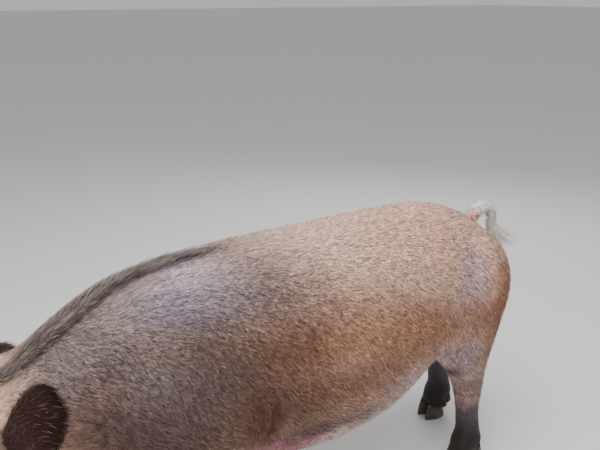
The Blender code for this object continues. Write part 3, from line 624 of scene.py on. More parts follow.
def skull_coordinates(points):
    """Along, across and up in the skull frame of the turned head."""
    origin = np.array(on_head(0, 0, 0))
    axes = np.array([head_direction(1, 0, 0), head_direction(0, 1, 0), head_direction(0, 0, 1)])
    return (points - origin) @ axes.T


def half_head(points):
    """Along, across and up in the skull frame, with the right side laid over the left."""
    place = skull_coordinates(points)
    place[:, 1] = np.abs(place[:, 1])
    return place


def coat_depth(points):
    """How thick the coat is at each point: thickest on the trunk, thin on the face and the feet."""
    legs = blend(points[:, 2], 0.16, 0.34)
    body = 1 - blend(skull_coordinates(points)[:, 0], -0.01, 0.13)
    depth = LEG_COAT + (BODY_COAT - LEG_COAT) * legs
    return FACE_COAT + (depth - FACE_COAT) * body


def refine(obj, chosen):
    """Splits the faces whose points are all chosen, then eases the new points onto a smooth surface."""
    bm = bmesh.new()
    bm.from_mesh(obj.data)
    bm.verts.ensure_lookup_table()
    wanted = chosen(coordinates(obj))
    edges = [e for e in bm.edges if wanted[e.verts[0].index] and wanted[e.verts[1].index]]
    bmesh.ops.subdivide_edges(bm, edges=edges, cuts=1, use_grid_fill=True)
    bmesh.ops.triangulate(bm, faces=[f for f in bm.faces if len(f.verts) > 4])
    bm.to_mesh(obj.data)
    bm.free()
    pull = chosen(coordinates(obj)) * 0.5
    ease(obj, [pull, pull * -0.90] * 4)


def base_flesh():
    """The body shapes merged into one skin, with the joins softened and the head turned."""
    bm = bmesh.new()
    add_body(bm)
    obj = mesh_object("skin", bm)
    remesh = obj.modifiers.new("merge", "REMESH")
    remesh.mode = "VOXEL"
    remesh.voxel_size = VOXEL
    apply_modifiers(obj)
    ease(obj, [softness(coordinates(obj))] * SOFTENING_ROUNDS)
    set_coordinates(obj, turned_points(coordinates(obj)))
    points = coordinates(obj)
    set_coordinates(obj, points - normals_of(obj) * coat_depth(points)[:, None])
    return obj


def in_head(points):
    return skull_coordinates(points)[:, 0] > -0.02


def in_face(points):
    """Where the head needs the finest skin: the snout's end, the mouth, the creases and round the eyes."""
    place = half_head(points)
    along, _, up = place.T
    chosen = along > 0.345
    chosen |= (along > 0.135) & (np.abs(up + 0.068) < 0.024)
    chosen |= np.linalg.norm(place - np.array((0.125, 0.115, 0.040)), axis=1) < 0.050
    for fold in fold_list():
        away, _ = distance_to_line(place, fold.line)
        chosen |= away < 2.2 * fold.width
    return chosen


def near_eyes(eyes, reach):
    """Chooses the points within reach of either eye's middle."""
    middles = np.array([middle for middle, _ in eyes.values()])

    def chosen(points):
        away = np.linalg.norm(points[:, None] - middles[None], axis=2)
        return away.min(1) < reach

    return chosen


def near_nostrils(points):
    along, across, up = half_head(points).T
    return (along > 0.375) & (np.hypot(across - NOSTRIL_ACROSS, up - NOSTRIL_UP) < 0.020)


def eye_places():
    """The middle of each eyeball and the way it looks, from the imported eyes."""
    places = {}
    for name, side in SIDES.items():
        low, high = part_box("eye_" + name)
        middle = (Vector(low) + Vector(high)) / 2 - MODEL_STEP
        places[name] = (middle, head_direction(0.30, -side, 0.16))
    return places


def eye_axes(outward):
    """The way an eye looks, the way to its front corner, and the way up across its lids."""
    look = np.array(outward) / np.linalg.norm(outward)
    corner = np.array(head_direction(1, 0, -0.35))
    corner = corner - look * (corner @ look)
    corner /= np.linalg.norm(corner)
    upright = np.cross(look, corner)
    if upright @ np.array(head_direction(0, 0, 1)) < 0:
        upright = -upright
    return look, corner, upright


def eyeball(name, middle, outward):
    """A wet eyeball with a raised cornea: a dark pupil, a brown iris with a dark rim, and a dull white."""
    look, corner, upright = eye_axes(outward)
    axes = np.array((corner, upright, look))
    bm = bmesh.new()
    bmesh.ops.create_uvsphere(bm, u_segments=96, v_segments=72, radius=1.0)
    obj = mesh_object(name, bm)
    ball = coordinates(obj)
    ball[:, 1] *= np.sign(np.linalg.det(axes))
    polar = np.arccos(np.clip(ball[:, 2], -1, 1))
    reach = (EYE_RADIUS - 0.0004) * (1 + 0.055 * (1 - blend(polar, 0.40, 0.80)))
    set_coordinates(obj, (ball @ axes) * reach[:, None] + np.array(middle))
    obj.data.shade_smooth()
    turn = np.arctan2(ball[:, 1], ball[:, 0])
    streaks = 1 + 0.28 * np.sin(turn * 31 + 2.6 * np.sin(turn * 7)) + 0.14 * np.sin(turn * 71)
    colour = laid_over(linear(*IRIS_AMBER), IRIS_BROWN, blend(polar, 0.24, 0.66)) * streaks[:, None]
    colour = laid_over(colour, IRIS_RIM, blend(polar, 0.60, 0.69))
    colour = laid_over(colour, EYE_WHITE, blend(polar, 0.71, 0.80))
    pupil = 1 - blend(np.hypot(ball[:, 0] / 0.33, ball[:, 1] / 0.24), 0.88, 1.08)
    colour = laid_over(colour, PUPIL_BLACK, pupil * (ball[:, 2] > 0))
    paint(obj, "eye_colour", colour)
    return obj


def sculpt_lids(skin, eyes):
    """Shapes the skin round each eyeball into two lids with an almond opening, and creases beyond them."""
    points = coordinates(skin)
    shell = EYE_RADIUS + LID_THICKNESS
    for middle, outward in eyes.values():
        look, corner, upright = eye_axes(outward)
        away = points - np.array(middle)
        u = away @ corner
        v = away @ upright
        w = away @ look
        near = (np.linalg.norm(away, axis=1) < 0.050) & (w > -0.012)
        spread = np.hypot(u, v)
        dome = np.sqrt(np.maximum(shell**2 - spread**2, 0)) - 0.30 * np.maximum(spread - 0.0150, 0)
        gap = np.clip((dome - w) / LID_BLEND, -8, 8)
        lifted = w + LID_BLEND * np.log1p(np.exp(gap)) * (1 - blend(spread, 0.016, 0.030))
        bend = 1 - (u / EYE_SLIT) ** 2
        inside = np.minimum(UPPER_LID * bend - v, v + LOWER_LID * bend)
        lifted -= SLIT_DEPTH * blend(inside, -0.0006, 0.0012)
        for side, bow, rise, reach, depth, wide in LID_CREASES:
            crease = bell(side * v - rise - bow * (1 - (u / reach) ** 2), wide)
            lifted -= depth * crease * (1 - blend(np.abs(u), reach * 0.8, reach * 1.15))
        points = points + look * ((lifted - w) * near)[:, None]
    set_coordinates(skin, points)


class Fold(NamedTuple):
    """A crease on both sides of the head: its line in the skull frame, how wide and how deep it is."""

    line: tuple
    width: float
    depth: float


def fold_list():
    """Creases of the face: across the snout, down from the eye, round the mouth's corner and the jowl."""
    folds = []
    for i, along in enumerate((0.352, 0.334, 0.313, 0.290, 0.264)):
        dip = 0.004 * (i % 2)
        line = ((along + 0.004, 0.0, 0.06), (along, 0.030, 0.052 - dip), (along - 0.008, 0.056, 0.028))
        folds.append(Fold(line, 0.0036 + 0.0005 * i, 0.0019 - 0.0002 * i))
    folds += [
        Fold(((0.150, 0.095, 0.018), (0.185, 0.085, -0.004), (0.232, 0.074, -0.022)), 0.0055, 0.0026),
        Fold(((0.166, 0.090, 0.034), (0.205, 0.078, 0.016), (0.250, 0.070, 0.004)), 0.0050, 0.0020),
        Fold(((0.140, 0.112, -0.052), (0.112, 0.120, -0.074), (0.096, 0.120, -0.104)), 0.0070, 0.0032),
        Fold(((0.118, 0.116, -0.030), (0.076, 0.128, -0.056), (0.054, 0.128, -0.096)), 0.0080, 0.0030),
        Fold(((0.150, 0.024, 0.090), (0.118, 0.020, 0.104), (0.080, 0.022, 0.108)), 0.0055, 0.0022),
        Fold(((0.190, 0.012, 0.078), (0.150, 0.008, 0.092), (0.112, 0.008, 0.104)), 0.0055, 0.0020),
        Fold(((0.098, 0.092, 0.072), (0.074, 0.106, 0.052), (0.066, 0.116, 0.024)), 0.0060, 0.0024),
        Fold(((0.330, 0.058, -0.020), (0.306, 0.060, -0.034), (0.276, 0.064, -0.044)), 0.0050, 0.0020),
        Fold(((0.152, 0.072, 0.064), (0.122, 0.088, 0.070), (0.088, 0.094, 0.064)), 0.0045, 0.0016),
        Fold(((0.160, 0.052, 0.078), (0.120, 0.064, 0.090), (0.076, 0.070, 0.090)), 0.0050, 0.0018),
        Fold(((0.166, 0.098, 0.044), (0.190, 0.086, 0.038), (0.214, 0.078, 0.030)), 0.0042, 0.0014),
        Fold(((0.130, 0.118, 0.014), (0.158, 0.108, -0.008), (0.178, 0.100, -0.030)), 0.0052, 0.0018),
        Fold(((0.250, 0.062, 0.030), (0.232, 0.050, 0.052), (0.222, 0.030, 0.064)), 0.0055, 0.0014),
        Fold(((0.214, 0.072, 0.024), (0.196, 0.058, 0.056), (0.188, 0.034, 0.074)), 0.0060, 0.0014),
    ]
    return folds


def body_folds():
    """Creases of the trunk in side view: behind the elbow, before the thigh and across the neck."""
    return [
        Fold(((-0.258, 0, 0.485), (-0.264, 0, 0.430), (-0.274, 0, 0.360)), 0.0090, 0.0110),
        Fold(((-0.292, 0, 0.440), (-0.300, 0, 0.400), (-0.312, 0, 0.360)), 0.0090, 0.0045),
        Fold(((0.300, 0, 0.440), (0.262, 0, 0.480), (0.236, 0, 0.540)), 0.0120, 0.0060),
        Fold(((-0.640, 0, 0.560), (-0.610, 0, 0.500), (-0.600, 0, 0.430)), 0.0140, 0.0060),
        Fold(((-0.690, 0, 0.580), (-0.660, 0, 0.510), (-0.655, 0, 0.440)), 0.0120, 0.0050),
    ]


def in_side_view(points):
    flat = points.copy()
    flat[:, 1] = 0
    return flat


def near_body_folds(points):
    flat = in_side_view(points)
    chosen = np.zeros(len(points), bool)
    for fold in body_folds():
        away, _ = distance_to_line(flat, fold.line)
        chosen |= (away < 2.6 * fold.width) & (np.abs(points[:, 1]) > 0.09)
    return chosen


def distance_to_line(points, line):
    """How far each point is from a line of straight pieces, and how far along it the nearest place is."""
    nearest = np.full(len(points), 1e3)
    share = np.zeros(len(points))
    for i, (a, b) in enumerate(zip(line, line[1:])):
        a = np.array(a)
        step = np.array(b) - a
        t = np.clip((points - a) @ step / (step @ step), 0, 1)
        away = np.linalg.norm(points - a - t[:, None] * step, axis=1)
        closer = away < nearest
        nearest = np.where(closer, away, nearest)
        share = np.where(closer, (i + t) / (len(line) - 1), share)
    return nearest, share


def fold_depth(points, folds, swell, strength=1, where=1):
    """How deep the creases press each point in; each has a low swell beside it and fades out at its ends."""
    depth = np.zeros(len(points))
    for fold in folds:
        away, share = distance_to_line(points, spline(fold.line, 4))
        ends = np.sin(np.pi * np.clip(share, 0.02, 0.98)) ** 0.6
        crosses_middle = fold.line[0][1] == 0 and fold.line[1][1] > 0
        if crosses_middle:
            ends = np.cos(np.pi / 2 * np.clip(share, 0, 0.98)) ** 0.6
        groove = bell(away, fold.width) - swell * bell(away - 2.1 * fold.width, fold.width)
        depth += strength * fold.depth * groove * ends * where
    return depth


def outer_side(points):
    """How far each point belongs to the trunk's outer sides."""
    return blend(np.abs(points[:, 1]), 0.09, 0.13)


def press_body_folds(skin):
    """Presses the trunk's creases into the skin on both sides."""
    points = coordinates(skin)
    depth = fold_depth(in_side_view(points), body_folds(), 0.40, where=outer_side(points))
    set_coordinates(skin, points - normals_of(skin) * depth[:, None])


def press_folds(skin):
    """Presses the face's creases into the skin."""
    points = coordinates(skin)
    depth = fold_depth(half_head(points), fold_list(), 0.45, FOLD_STRENGTH)
    set_coordinates(skin, points - normals_of(skin) * depth[:, None])


def unite(obj, pieces):
    """Fuses loose pieces into the skin with one Boolean union."""
    for piece in pieces:
        boolean(obj, piece, "UNION")
    remove(*pieces)


def cut_feet(skin):
    """Ends each leg at its coronet, where the claws begin."""
    slope = Matrix.Rotation(math.atan(CORONET_SLOPE), 4, "Y")
    below = Matrix.Translation((0, 0, -SOLE_BOX[2] / 2))
    for name in SIDES:
        for joints in legs_of(name):
            bottom = joints[-1]
            place = Matrix.Translation((bottom.x, bottom.y, CORONET_HEIGHT)) @ slope @ below
            bm = bmesh.new()
            bmesh.ops.create_cube(bm, size=1.0, matrix=place @ Matrix.Diagonal((*SOLE_BOX, 1.0)))
            cutter = mesh_object("sole", bm)
            boolean(skin, cutter, "DIFFERENCE")
            remove(cutter)


# The mouth from its corner to its front, along and up in the skull frame
MOUTH_LINE = np.array(
    [(0.150, -0.066), (0.184, -0.084), (0.224, -0.074), (0.272, -0.060), (0.316, -0.052), (0.356, -0.050)]
)


def above_mouth(place):
    """How far above the mouth's line each place on the skull is, and how far it belongs to the mouth."""
    along = place[:, 0]
    return place[:, 2] - np.interp(along, *MOUTH_LINE.T), blend(along, 0.145, 0.170)


def carve_face(skin):
    """Presses the mouth line and the nostrils into the skin and raises the snout's rim."""
    points = coordinates(skin)
    place = skull_coordinates(points)
    along, across, up = place.T
    above, reach = above_mouth(place)
    groove = bell(above, 0.0035) * reach
    lips = bell(np.abs(above) - 0.0085, 0.0050) * reach
    depth = MOUTH_DEPTH * groove - LIP_RISE * lips
    moved = points - normals_of(skin) * depth[:, None]
    front = blend(along, 0.385, 0.398)
    for side in (1, -1):
        away = np.hypot(across - side * NOSTRIL_ACROSS, (up - NOSTRIL_UP) * 0.85)
        hollow = 1 - blend(away, 0.0045, 0.0095)
        inward = np.array(head_direction(-1, -side * 0.10, -0.1))
        moved += inward * (hollow * front * NOSTRIL_DEPTH)[:, None]
        rim = bell(away - 0.0120, 0.0030) * front
        moved -= inward * (rim * NOSTRIL_RIM)[:, None]
    set_coordinates(skin, moved)


MODEL_STEP = Vector((0, 0, 0))


def find_model_step():
    """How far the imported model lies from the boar's own frame."""
    low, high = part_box("fore_claw_left_outer")
    middle = (Vector(low) + Vector(high)) / 2
    return Vector((middle.x - FORE_CLAW_MIDDLE.x, middle.y - FORE_CLAW_MIDDLE.y, 0))


def linear(red, green, blue):
    """A colour as the eye names it, 0 to 255, in the linear values that light works in."""
    values = np.array((red, green, blue)) / 255
    return np.where(values <= 0.04045, values / 12.92, ((values + 0.055) / 1.055) ** 2.4)


def laid_over(colour, paint, share):
    """Colours with a paint, named 0 to 255, laid over them by a share for each point."""
    return mixed(colour, linear(*paint), share[:, None])


class Patch(NamedTuple):
    """A patch of colour on both sides of the body: where it is in side view, its reach and its colour."""

    x: float
    z: float
    reach_x: float
    reach_z: float
    colour: tuple
    strength: float


BACK_CREAM = (232, 200, 180)
FLANK_TAN = (200, 158, 130)
BELLY_PINK = (178, 140, 130)
REAR_BELLY = (206, 178, 174)
FRONT_BELLY = (158, 104, 108)
FACE_TAN = (150, 124, 111)
FACE_GREY = (104, 86, 80)
BRIDGE_BROWN = (98, 76, 68)
SNOUT_PINK = (186, 128, 116)
SNOUT_SMEAR = (92, 72, 62)
EYE_HOLLOW_SHADE = (98, 74, 68)
EAR_BROWN = (56, 28, 26)
MUD = (84, 76, 82)
MUD_IN_FOOT_SHADOW = (24, 17, 15)
HIND_LEG_BAND = (46, 30, 31)
CREST_ROOTS_AND_SHADOW = (66, 54, 53)
MANE_ROOT = (70, 58, 56)
MANE_TIP = (190, 174, 165)
TAIL_WHITE = (254, 251, 250)
SWITCH_ROOT = (244, 238, 234)
SWITCH_MIDDLE = (252, 248, 244)
SWITCH_END = (232, 216, 198)
BRISTLE_TIP = (150, 128, 108)
LASH_ROOT = (58, 44, 38)
LASH_TIP = (120, 98, 80)
IRIS_AMBER = (112, 72, 40)
IRIS_BROWN = (52, 32, 22)
IRIS_RIM = (20, 14, 13)
EYE_WHITE = (158, 128, 116)
PUPIL_BLACK = (6, 5, 6)

EAR_SURFACES = []            # filled when the ears are built
EAR_NEAR = 0.012             # skin this close to an ear's surface belongs to it

PATCHES = {
    "croup": Patch(0.32, 0.80, 0.30, 0.11, (234, 190, 165), 0.95),
    "mid flank": Patch(-0.02, 0.62, 0.20, 0.10, (188, 143, 115), 0.90),
    "tan rib": Patch(-0.16, 0.70, 0.10, 0.07, (188, 155, 140), 0.90),
    "upper ribs": Patch(-0.27, 0.755, 0.13, 0.08, (118, 98, 98), 0.85),
    "shoulder blade": Patch(-0.45, 0.76, 0.13, 0.08, (141, 132, 153), 0.90),
    "neck": Patch(-0.68, 0.66, 0.17, 0.12, (112, 101, 102), 0.95),
    "pale neck": Patch(-0.70, 0.655, 0.05, 0.05, (139, 119, 118), 0.60),
    "lower neck": Patch(-0.63, 0.52, 0.13, 0.10, (128, 97, 88), 0.95),
    "chest": Patch(-0.50, 0.43, 0.20, 0.14, (89, 65, 60), 0.92),
    "shoulder": Patch(-0.43, 0.58, 0.20, 0.15, (106, 86, 83), 0.90),
    "low flank": Patch(-0.20, 0.46, 0.13, 0.07, (95, 67, 54), 0.90),
    "red band": Patch(-0.32, 0.44, 0.055, 0.10, (105, 64, 44), 0.90),
    "armpit": Patch(-0.268, 0.41, 0.030, 0.080, (104, 62, 44), 0.85),
    "golden flank": Patch(0.19, 0.56, 0.15, 0.09, (179, 129, 100), 0.90),
    "golden ham": Patch(0.41, 0.540, 0.15, 0.050, (172, 124, 94), 0.90),
    # The ham's edge is partly its own red-brown and partly painted shade where light grazes it
    "ham's edge, partly painted shade": Patch(0.51, 0.57, 0.07, 0.13, (158, 104, 72), 0.92),
    # The ham's pale lilac oval is partly its own colour and partly a painted sheen on its round top
    "ham's oval with painted sheen": Patch(0.37, 0.665, 0.070, 0.080, (204, 178, 182), 0.90),
    "under flank": Patch(0.00, 0.475, 0.20, 0.060, (138, 97, 76), 0.75),
    "belly's edge": Patch(-0.04, 0.350, 0.16, 0.050, (128, 103, 100), 0.85),
    "belly pink": Patch(-0.18, 0.345, 0.10, 0.060, (84, 46, 50), 0.85),
    "flank fold": Patch(0.17, 0.390, 0.13, 0.066, (206, 174, 172), 0.95),
    "hock": Patch(0.365, 0.395, 0.092, 0.115, (172, 149, 152), 0.95),
    "thigh's rear": Patch(0.50, 0.42, 0.045, 0.110, (150, 108, 86), 0.90),
    "cannon": Patch(0.43, 0.30, 0.08, 0.040, (128, 102, 96), 0.85),
    "hock's mark": Patch(0.352, 0.362, 0.034, 0.022, (40, 24, 26), 1.0),
}

# Wide, soft places where the hide is painted darker than its patch (below 1) or paler (above 1), as shares of
# red, green and blue. They are partly the hide's own tone and partly painted light: painted shade on the low
# ribs and the low edge of the flank, and a pale, bluish painted sheen on the withers and the side of the
# neck.
TONE_AND_PAINTED_LIGHT = {
    "low ribs": Patch(-0.225, 0.600, 0.15, 0.10, (0.54, 0.44, 0.38), 1.0),
    "beside the withers": Patch(-0.57, 0.757, 0.09, 0.05, (0.68, 0.71, 0.79), 1.0),
    "middle of the shoulder": Patch(-0.43, 0.69, 0.10, 0.05, (0.70, 0.69, 0.67), 1.0),
    "withers": Patch(-0.38, 0.815, 0.07, 0.03, (1.25, 1.30, 1.40), 1.0),
    "side of the neck": Patch(-0.55, 0.59, 0.09, 0.05, (1.20, 1.40, 1.50), 1.0),
    "rear of the rump": Patch(0.46, 0.66, 0.06, 0.09, (1.20, 1.20, 1.16), 1.0),
    "low edge of the flank": Patch(0.07, 0.405, 0.06, 0.03, (0.84, 0.79, 0.79), 1.0),
}

chance_waves = np.random.default_rng(5)
WAVES = chance_waves.normal(0, 1, (24, 3))
WAVE_STARTS = chance_waves.uniform(0, 2 * math.pi, 24)


def ripple(points, size, first):
    """A soft random value between about -1 and 1, with swells of about the given size in metres."""
    total = np.zeros(len(points))
    for wave, start in zip(WAVES[first : first + 6], WAVE_STARTS[first : first + 6]):
        total += np.sin(points @ wave * (4.0 / size) + start)
    return total / 3


def belly_share(points, facing):
    """How far each point belongs to the nearly bare skin under the belly, which faces down."""
    x, _, z = points.T
    below = blend(-facing[:, 2] + 0.05 * ripple(points, 0.07, 4), 0.40, 0.58)
    return below * between(x, -0.34, -0.27, 0.30, 0.38) * between(z, 0.16, 0.19, 0.46, 0.52)


def ear_share(points):
    """How far each point belongs to an ear, from how near it lies to an ear's own surface."""
    share = np.zeros(len(points))
    place = skull_coordinates(points)
    near = (np.abs(place[:, 1]) > 0.060) & (place[:, 0] > -0.15) & (place[:, 0] < 0.24)
    for i in np.flatnonzero(near):
        for surface in EAR_SURFACES:
            _, _, _, away = surface.find_nearest(Vector(points[i]), EAR_NEAR)
            if away is not None:
                share[i] = max(share[i], 1 - away / EAR_NEAR)
    return blend(share, 0.05, 0.85)


def mud_share(points):
    """How far dried mud covers each point: up to the knees and hocks, higher on the far hind leg."""
    height = points[:, 2] + 0.010 * ripple(points, 0.045, 3) + 0.006 * ripple(points, 0.015, 8)
    along = points[:, 0]
    line = np.where((along > 0.2) & (points[:, 1] > 0), 0.38, 0.255)
    leg = np.maximum(1 - blend(along, -0.33, -0.27), blend(along, 0.33, 0.38))
    return leg * (1 - blend(height, line - 0.060, line + 0.020))


def patch_share(patch, x, z):
    """How far each place in the side view belongs to a patch: full in its middle, fading out beyond."""
    away = ((x - patch.x) / patch.reach_x) ** 2 + ((z - patch.z) / patch.reach_z) ** 2
    return patch.strength * np.exp(-(away**1.4))


def hide_colour(points, facing):
    """The colour of hide and coat at each point, from named patches with uneven edges, and painted shade and
    light.
    """
    x = points[:, 0] + 0.016 * ripple(points, 0.22, 0) + 0.007 * ripple(points, 0.06, 12)
    z = points[:, 2] + 0.014 * ripple(points, 0.22, 6) + 0.006 * ripple(points, 0.06, 18)
    colour = laid_over(linear(*FLANK_TAN), BACK_CREAM, blend(z, 0.46, 0.80))
    colour = laid_over(colour, BELLY_PINK, 1 - blend(z, 0.22, 0.40))
    for patch in PATCHES.values():
        colour = laid_over(colour, patch.colour, patch_share(patch, x, z))
    # Painted shade and light, mixed with the hide's own tone, over the wide soft places
    for shade in TONE_AND_PAINTED_LIGHT.values():
        colour = colour * mixed(1, np.array(shade.colour), patch_share(shade, x, z)[:, None])
    bare = laid_over(linear(*REAR_BELLY), FRONT_BELLY, 1 - blend(x, -0.20, -0.02))
    colour = mixed(colour, bare, 0.9 * belly_share(points, facing)[:, None])
    place = skull_coordinates(points)
    along, across, up = place.T
    face = blend(along, 0.02, 0.12)
    colour = laid_over(colour, FACE_TAN, 0.8 * face)
    grey = blend(ripple(points, 0.075, 3) + 0.5 * ripple(points, 0.028, 9), -0.1, 0.7)
    colour = laid_over(colour, FACE_GREY, 0.40 * grey * face)
    bridge = between(along, 0.13, 0.24, 0.31, 0.36) * blend(up, 0.0, 0.05)
    colour = laid_over(colour, BRIDGE_BROWN, 0.35 * bridge)
    colour = laid_over(colour, SNOUT_PINK, blend(along + 0.10 * np.abs(across), 0.315, 0.375))
    colour = laid_over(colour, EAR_BROWN, 0.97 * ear_share(points))
    # Along the crest the skin is painted dark: the mane's dark roots and the painted shadow of its standing
    # hairs
    crest = bell(off_middle(points), 0.036) * between(x, -0.92, -0.84, -0.38, -0.22)
    colour = laid_over(colour, CREST_ROOTS_AND_SHADOW, 0.60 * crest * (z > 0.45) * (along < 0.10))
    away, share = distance_to_line(points, tail_path())
    colour = laid_over(colour, TAIL_WHITE, (away < 0.045) * blend(share, 0.16, 0.34))
    # Dried mud on the legs, darkened towards the floor by painted shadow over the feet
    mud_and_foot_shadow = laid_over(linear(*MUD), MUD_IN_FOOT_SHADOW, 1 - blend(z, 0.10, 0.25))
    colour = mixed(colour, mud_and_foot_shadow, 0.985 * mud_share(points)[:, None])
    # A dark band round the hind legs at the height where the mud stops
    edge = bell(z + 0.004 * ripple(points, 0.05, 3) - 0.256, 0.007) * (x > 0.2)
    colour = laid_over(colour, HIND_LEG_BAND, 0.65 * edge)
    # Round each eye the skin is darker, with painted shade in the eye's hollow
    colour = laid_over(colour, EYE_HOLLOW_SHADE, 0.50 * bell(from_eye(place), 0.030))
    smear = blend(ripple(points, 0.030, 6) + 0.7 * ripple(points, 0.011, 1), 0.10, 0.75)
    colour = laid_over(colour, SNOUT_SMEAR, 0.40 * smear * between(along, 0.17, 0.30, 0.34, 0.37))
    mottle = 1 + 0.07 * ripple(points, 0.035, 9) + 0.05 * ripple(points, 0.012, 15)
    return colour * mottle[:, None]


def from_eye(place):
    """How far each place in the skull frame is from the nearer eye."""
    return np.linalg.norm(np.abs(place) - EYE_PLACE, axis=1)


def crease_share(points):
    """How deep in a fold of the skin each point lies, from 0 on the open skin to 1 at a fold's bottom."""
    place = half_head(points)
    above, reach = above_mouth(place)
    share = bell(above, 0.0040) * reach
    for fold in fold_list():
        away, _ = distance_to_line(place, spline(fold.line, 4))
        share = np.maximum(share, bell(1.3 * away, fold.width))
    flat = in_side_view(points)
    outer = outer_side(points)
    for fold in body_folds():
        away, _ = distance_to_line(flat, spline(fold.line, 4))
        share = np.maximum(share, 0.45 * bell(away, fold.width) * outer)
    return share


def paint(obj, name, colours):
    """Stores one colour for each point of a piece."""
    attribute = obj.data.color_attributes.new(name, "FLOAT_COLOR", "POINT")
    values = np.ones((len(colours), 4), np.float32)
    values[:, :3] = colours
    attribute.data.foreach_set("color", values.ravel())


def unwrap(obj, name):
    """Lays the piece's surface out flat on a new UV map."""
    obj.data.uv_layers.new(name=name)
    bpy.context.view_layer.objects.active = obj
    for other in bpy.context.selected_objects:
        other.select_set(False)
    obj.select_set(True)
    bpy.ops.object.mode_set(mode="EDIT")
    bpy.ops.mesh.select_all(action="SELECT")
    bpy.ops.uv.smart_project(angle_limit=math.radians(66), island_margin=0.002)
    bpy.ops.object.mode_set(mode="OBJECT")


class Roots(NamedTuple):
    """Where hairs grow: points on the skin, the way it faces there, and their place on its flat layout."""

    points: np.ndarray
    normals: np.ndarray
    layout: np.ndarray


def layout_of(skin):
    """The flat layout's places, one for each corner of the skin's faces."""
    return read_rows(skin.data.uv_layers["skin_layout"].data, "uv", 2)


def scatter(skin, count, density):
    """Spreads hair roots over the skin, more where density says so."""
    mesh = skin.data
    mesh.calc_loop_triangles()
    corners = read_rows(mesh.loop_triangles, "vertices", 3, np.int32)
    loops = read_rows(mesh.loop_triangles, "loops", 3, np.int32)
    points = coordinates(skin)
    a, b, c = (points[corners[:, i]] for i in range(3))
    turn = np.cross(b - a, c - a)
    area = np.linalg.norm(turn, axis=1) / 2
    level = np.cumsum(area * density((a + b + c) / 3, unit(turn)))
    picks = (np.arange(count) + chance.random(count)) / count * level[-1]
    chosen = np.minimum(np.searchsorted(level, picks), len(corners) - 1)
    u = np.sqrt(chance.random(count))
    v = chance.random(count)
    shares = np.stack([1 - u, u * (1 - v), u * v], axis=1)

    def read_at(values, index):
        """Values at the roots, read between the three corners of each root's triangle."""
        return sum(values[index[chosen, i]] * shares[:, i : i + 1] for i in range(3))

    facing = unit(read_at(normals_of(skin), corners))
    return Roots(read_at(points, corners), facing, read_at(layout_of(skin), loops))


def unit(vectors):
    return vectors / np.maximum(np.linalg.norm(vectors, axis=1), 1e-9)[:, None]


def swung(one, other, angle):
    """Each direction turned from one way towards another by an angle."""
    return one * np.cos(angle)[:, None] + other * np.sin(angle)[:, None]


def lie(points, normals):
    """The way the coat lies: head to tail, down the flanks and the legs, up the face."""
    x, y, z = points.T
    flank = 1 - blend(z, 0.60, 0.83)
    under = 1 - blend(z, 0.34, 0.50)
    rear = blend(x, 0.34, 0.58)
    fall = 0.08 + 0.92 * flank - 0.45 * under + 0.9 * rear
    ahead = np.stack([1.0 - 0.80 * rear, 0.10 * np.sign(y), -fall], axis=1)
    armpit = bell(x + 0.285, 0.060) * bell(z - 0.42, 0.090)
    groin = bell(x - 0.30, 0.070) * bell(z - 0.47, 0.070)
    low = 1 - blend(z, 0.24, 0.36)
    outer = np.abs(y) > 0.07
    for way, share in (
        ((-0.10, 0.0, -1.0), armpit),
        ((0.35, 0.0, -1.0), groin),
        ((0.22, 0.0, -1.0), low * outer),
        ((1.0, 0.0, 0.0), low * ~outer),
    ):
        ahead = mixed(ahead, np.array(way), share[:, None])
    place = skull_coordinates(points)
    head = blend(place[:, 0], -0.04, 0.06)[:, None]
    outward = np.array(head_direction(0, 1, 0)) * np.sign(place[:, 1])[:, None] * 0.3
    ahead = mixed(ahead, np.array(head_direction(-1, 0, 0)) + outward, head)
    ahead = ahead + 0.24 * ripple(points, 0.16, 2)[:, None] * np.cross(normals, ahead)
    return unit(ahead - normals * np.sum(ahead * normals, axis=1)[:, None])


LAYOUT_CELL = 0.003          # the side of each tuft's cell on the flat layout
TUFT_FACES = np.array([(0, 2, 3), (2, 1, 3), (1, 0, 3), (0, 1, 2)])
TUFT_SPREAD = np.array([(-0.5, -0.5), (0.5, -0.5), (0.0, -0.3), (0.0, 0.5)])
STRAND_STEPS = (0.0, 0.36, 0.72)
STRAND_WIDTHS = (1.0, 0.85, 0.5)


def strand_faces():
    """Faces of a three-sided tube with three rings and a tip."""
    faces = [(0, 2, 1)]
    for near in (0, 3):
        for i in range(3):
            j = (i + 1) % 3
            faces.append((near + i, near + j, near + 3 + j))
            faces.append((near + i, near + 3 + j, near + 3 + i))
    faces += [(6, 7, 9), (7, 8, 9), (8, 6, 9)]
    return np.array(faces)


def strand_spread():
    """Where a strand's ten points lie within its patch of the flat layout."""
    rows = [(i / 2 - 0.5, step - 0.5) for step in STRAND_STEPS for i in range(3)]
    return np.array(rows + [(0.0, 0.5)])


def joined_mesh(name, corners, faces, spread, layout, shades):
    """Joins many like shapes into one mesh, with their colours and their places on the skin's layout."""
    count, sides, _ = corners.shape
    mesh = bpy.data.meshes.new(name)
    mesh.vertices.add(count * sides)
    mesh.vertices.foreach_set("co", corners.astype(np.float32).ravel())
    order = (faces[None] + (np.arange(count) * sides)[:, None, None]).reshape(-1)
    total = count * len(faces)
    mesh.loops.add(total * 3)
    mesh.loops.foreach_set("vertex_index", order.astype(np.int32))
    mesh.polygons.add(total)
    mesh.polygons.foreach_set("loop_start", np.arange(0, total * 3, 3, dtype=np.int32))
    mesh.update(calc_edges=True)
    flat = (layout[:, None] + spread[None] * LAYOUT_CELL).reshape(-1, 2)
    layer = mesh.uv_layers.new(name="OFBake")
    layer.data.foreach_set("uv", flat[order].astype(np.float32).ravel())
    obj = new_object(name, mesh)
    paint(obj, "coat_colour", shades.reshape(-1, 3))
    return obj


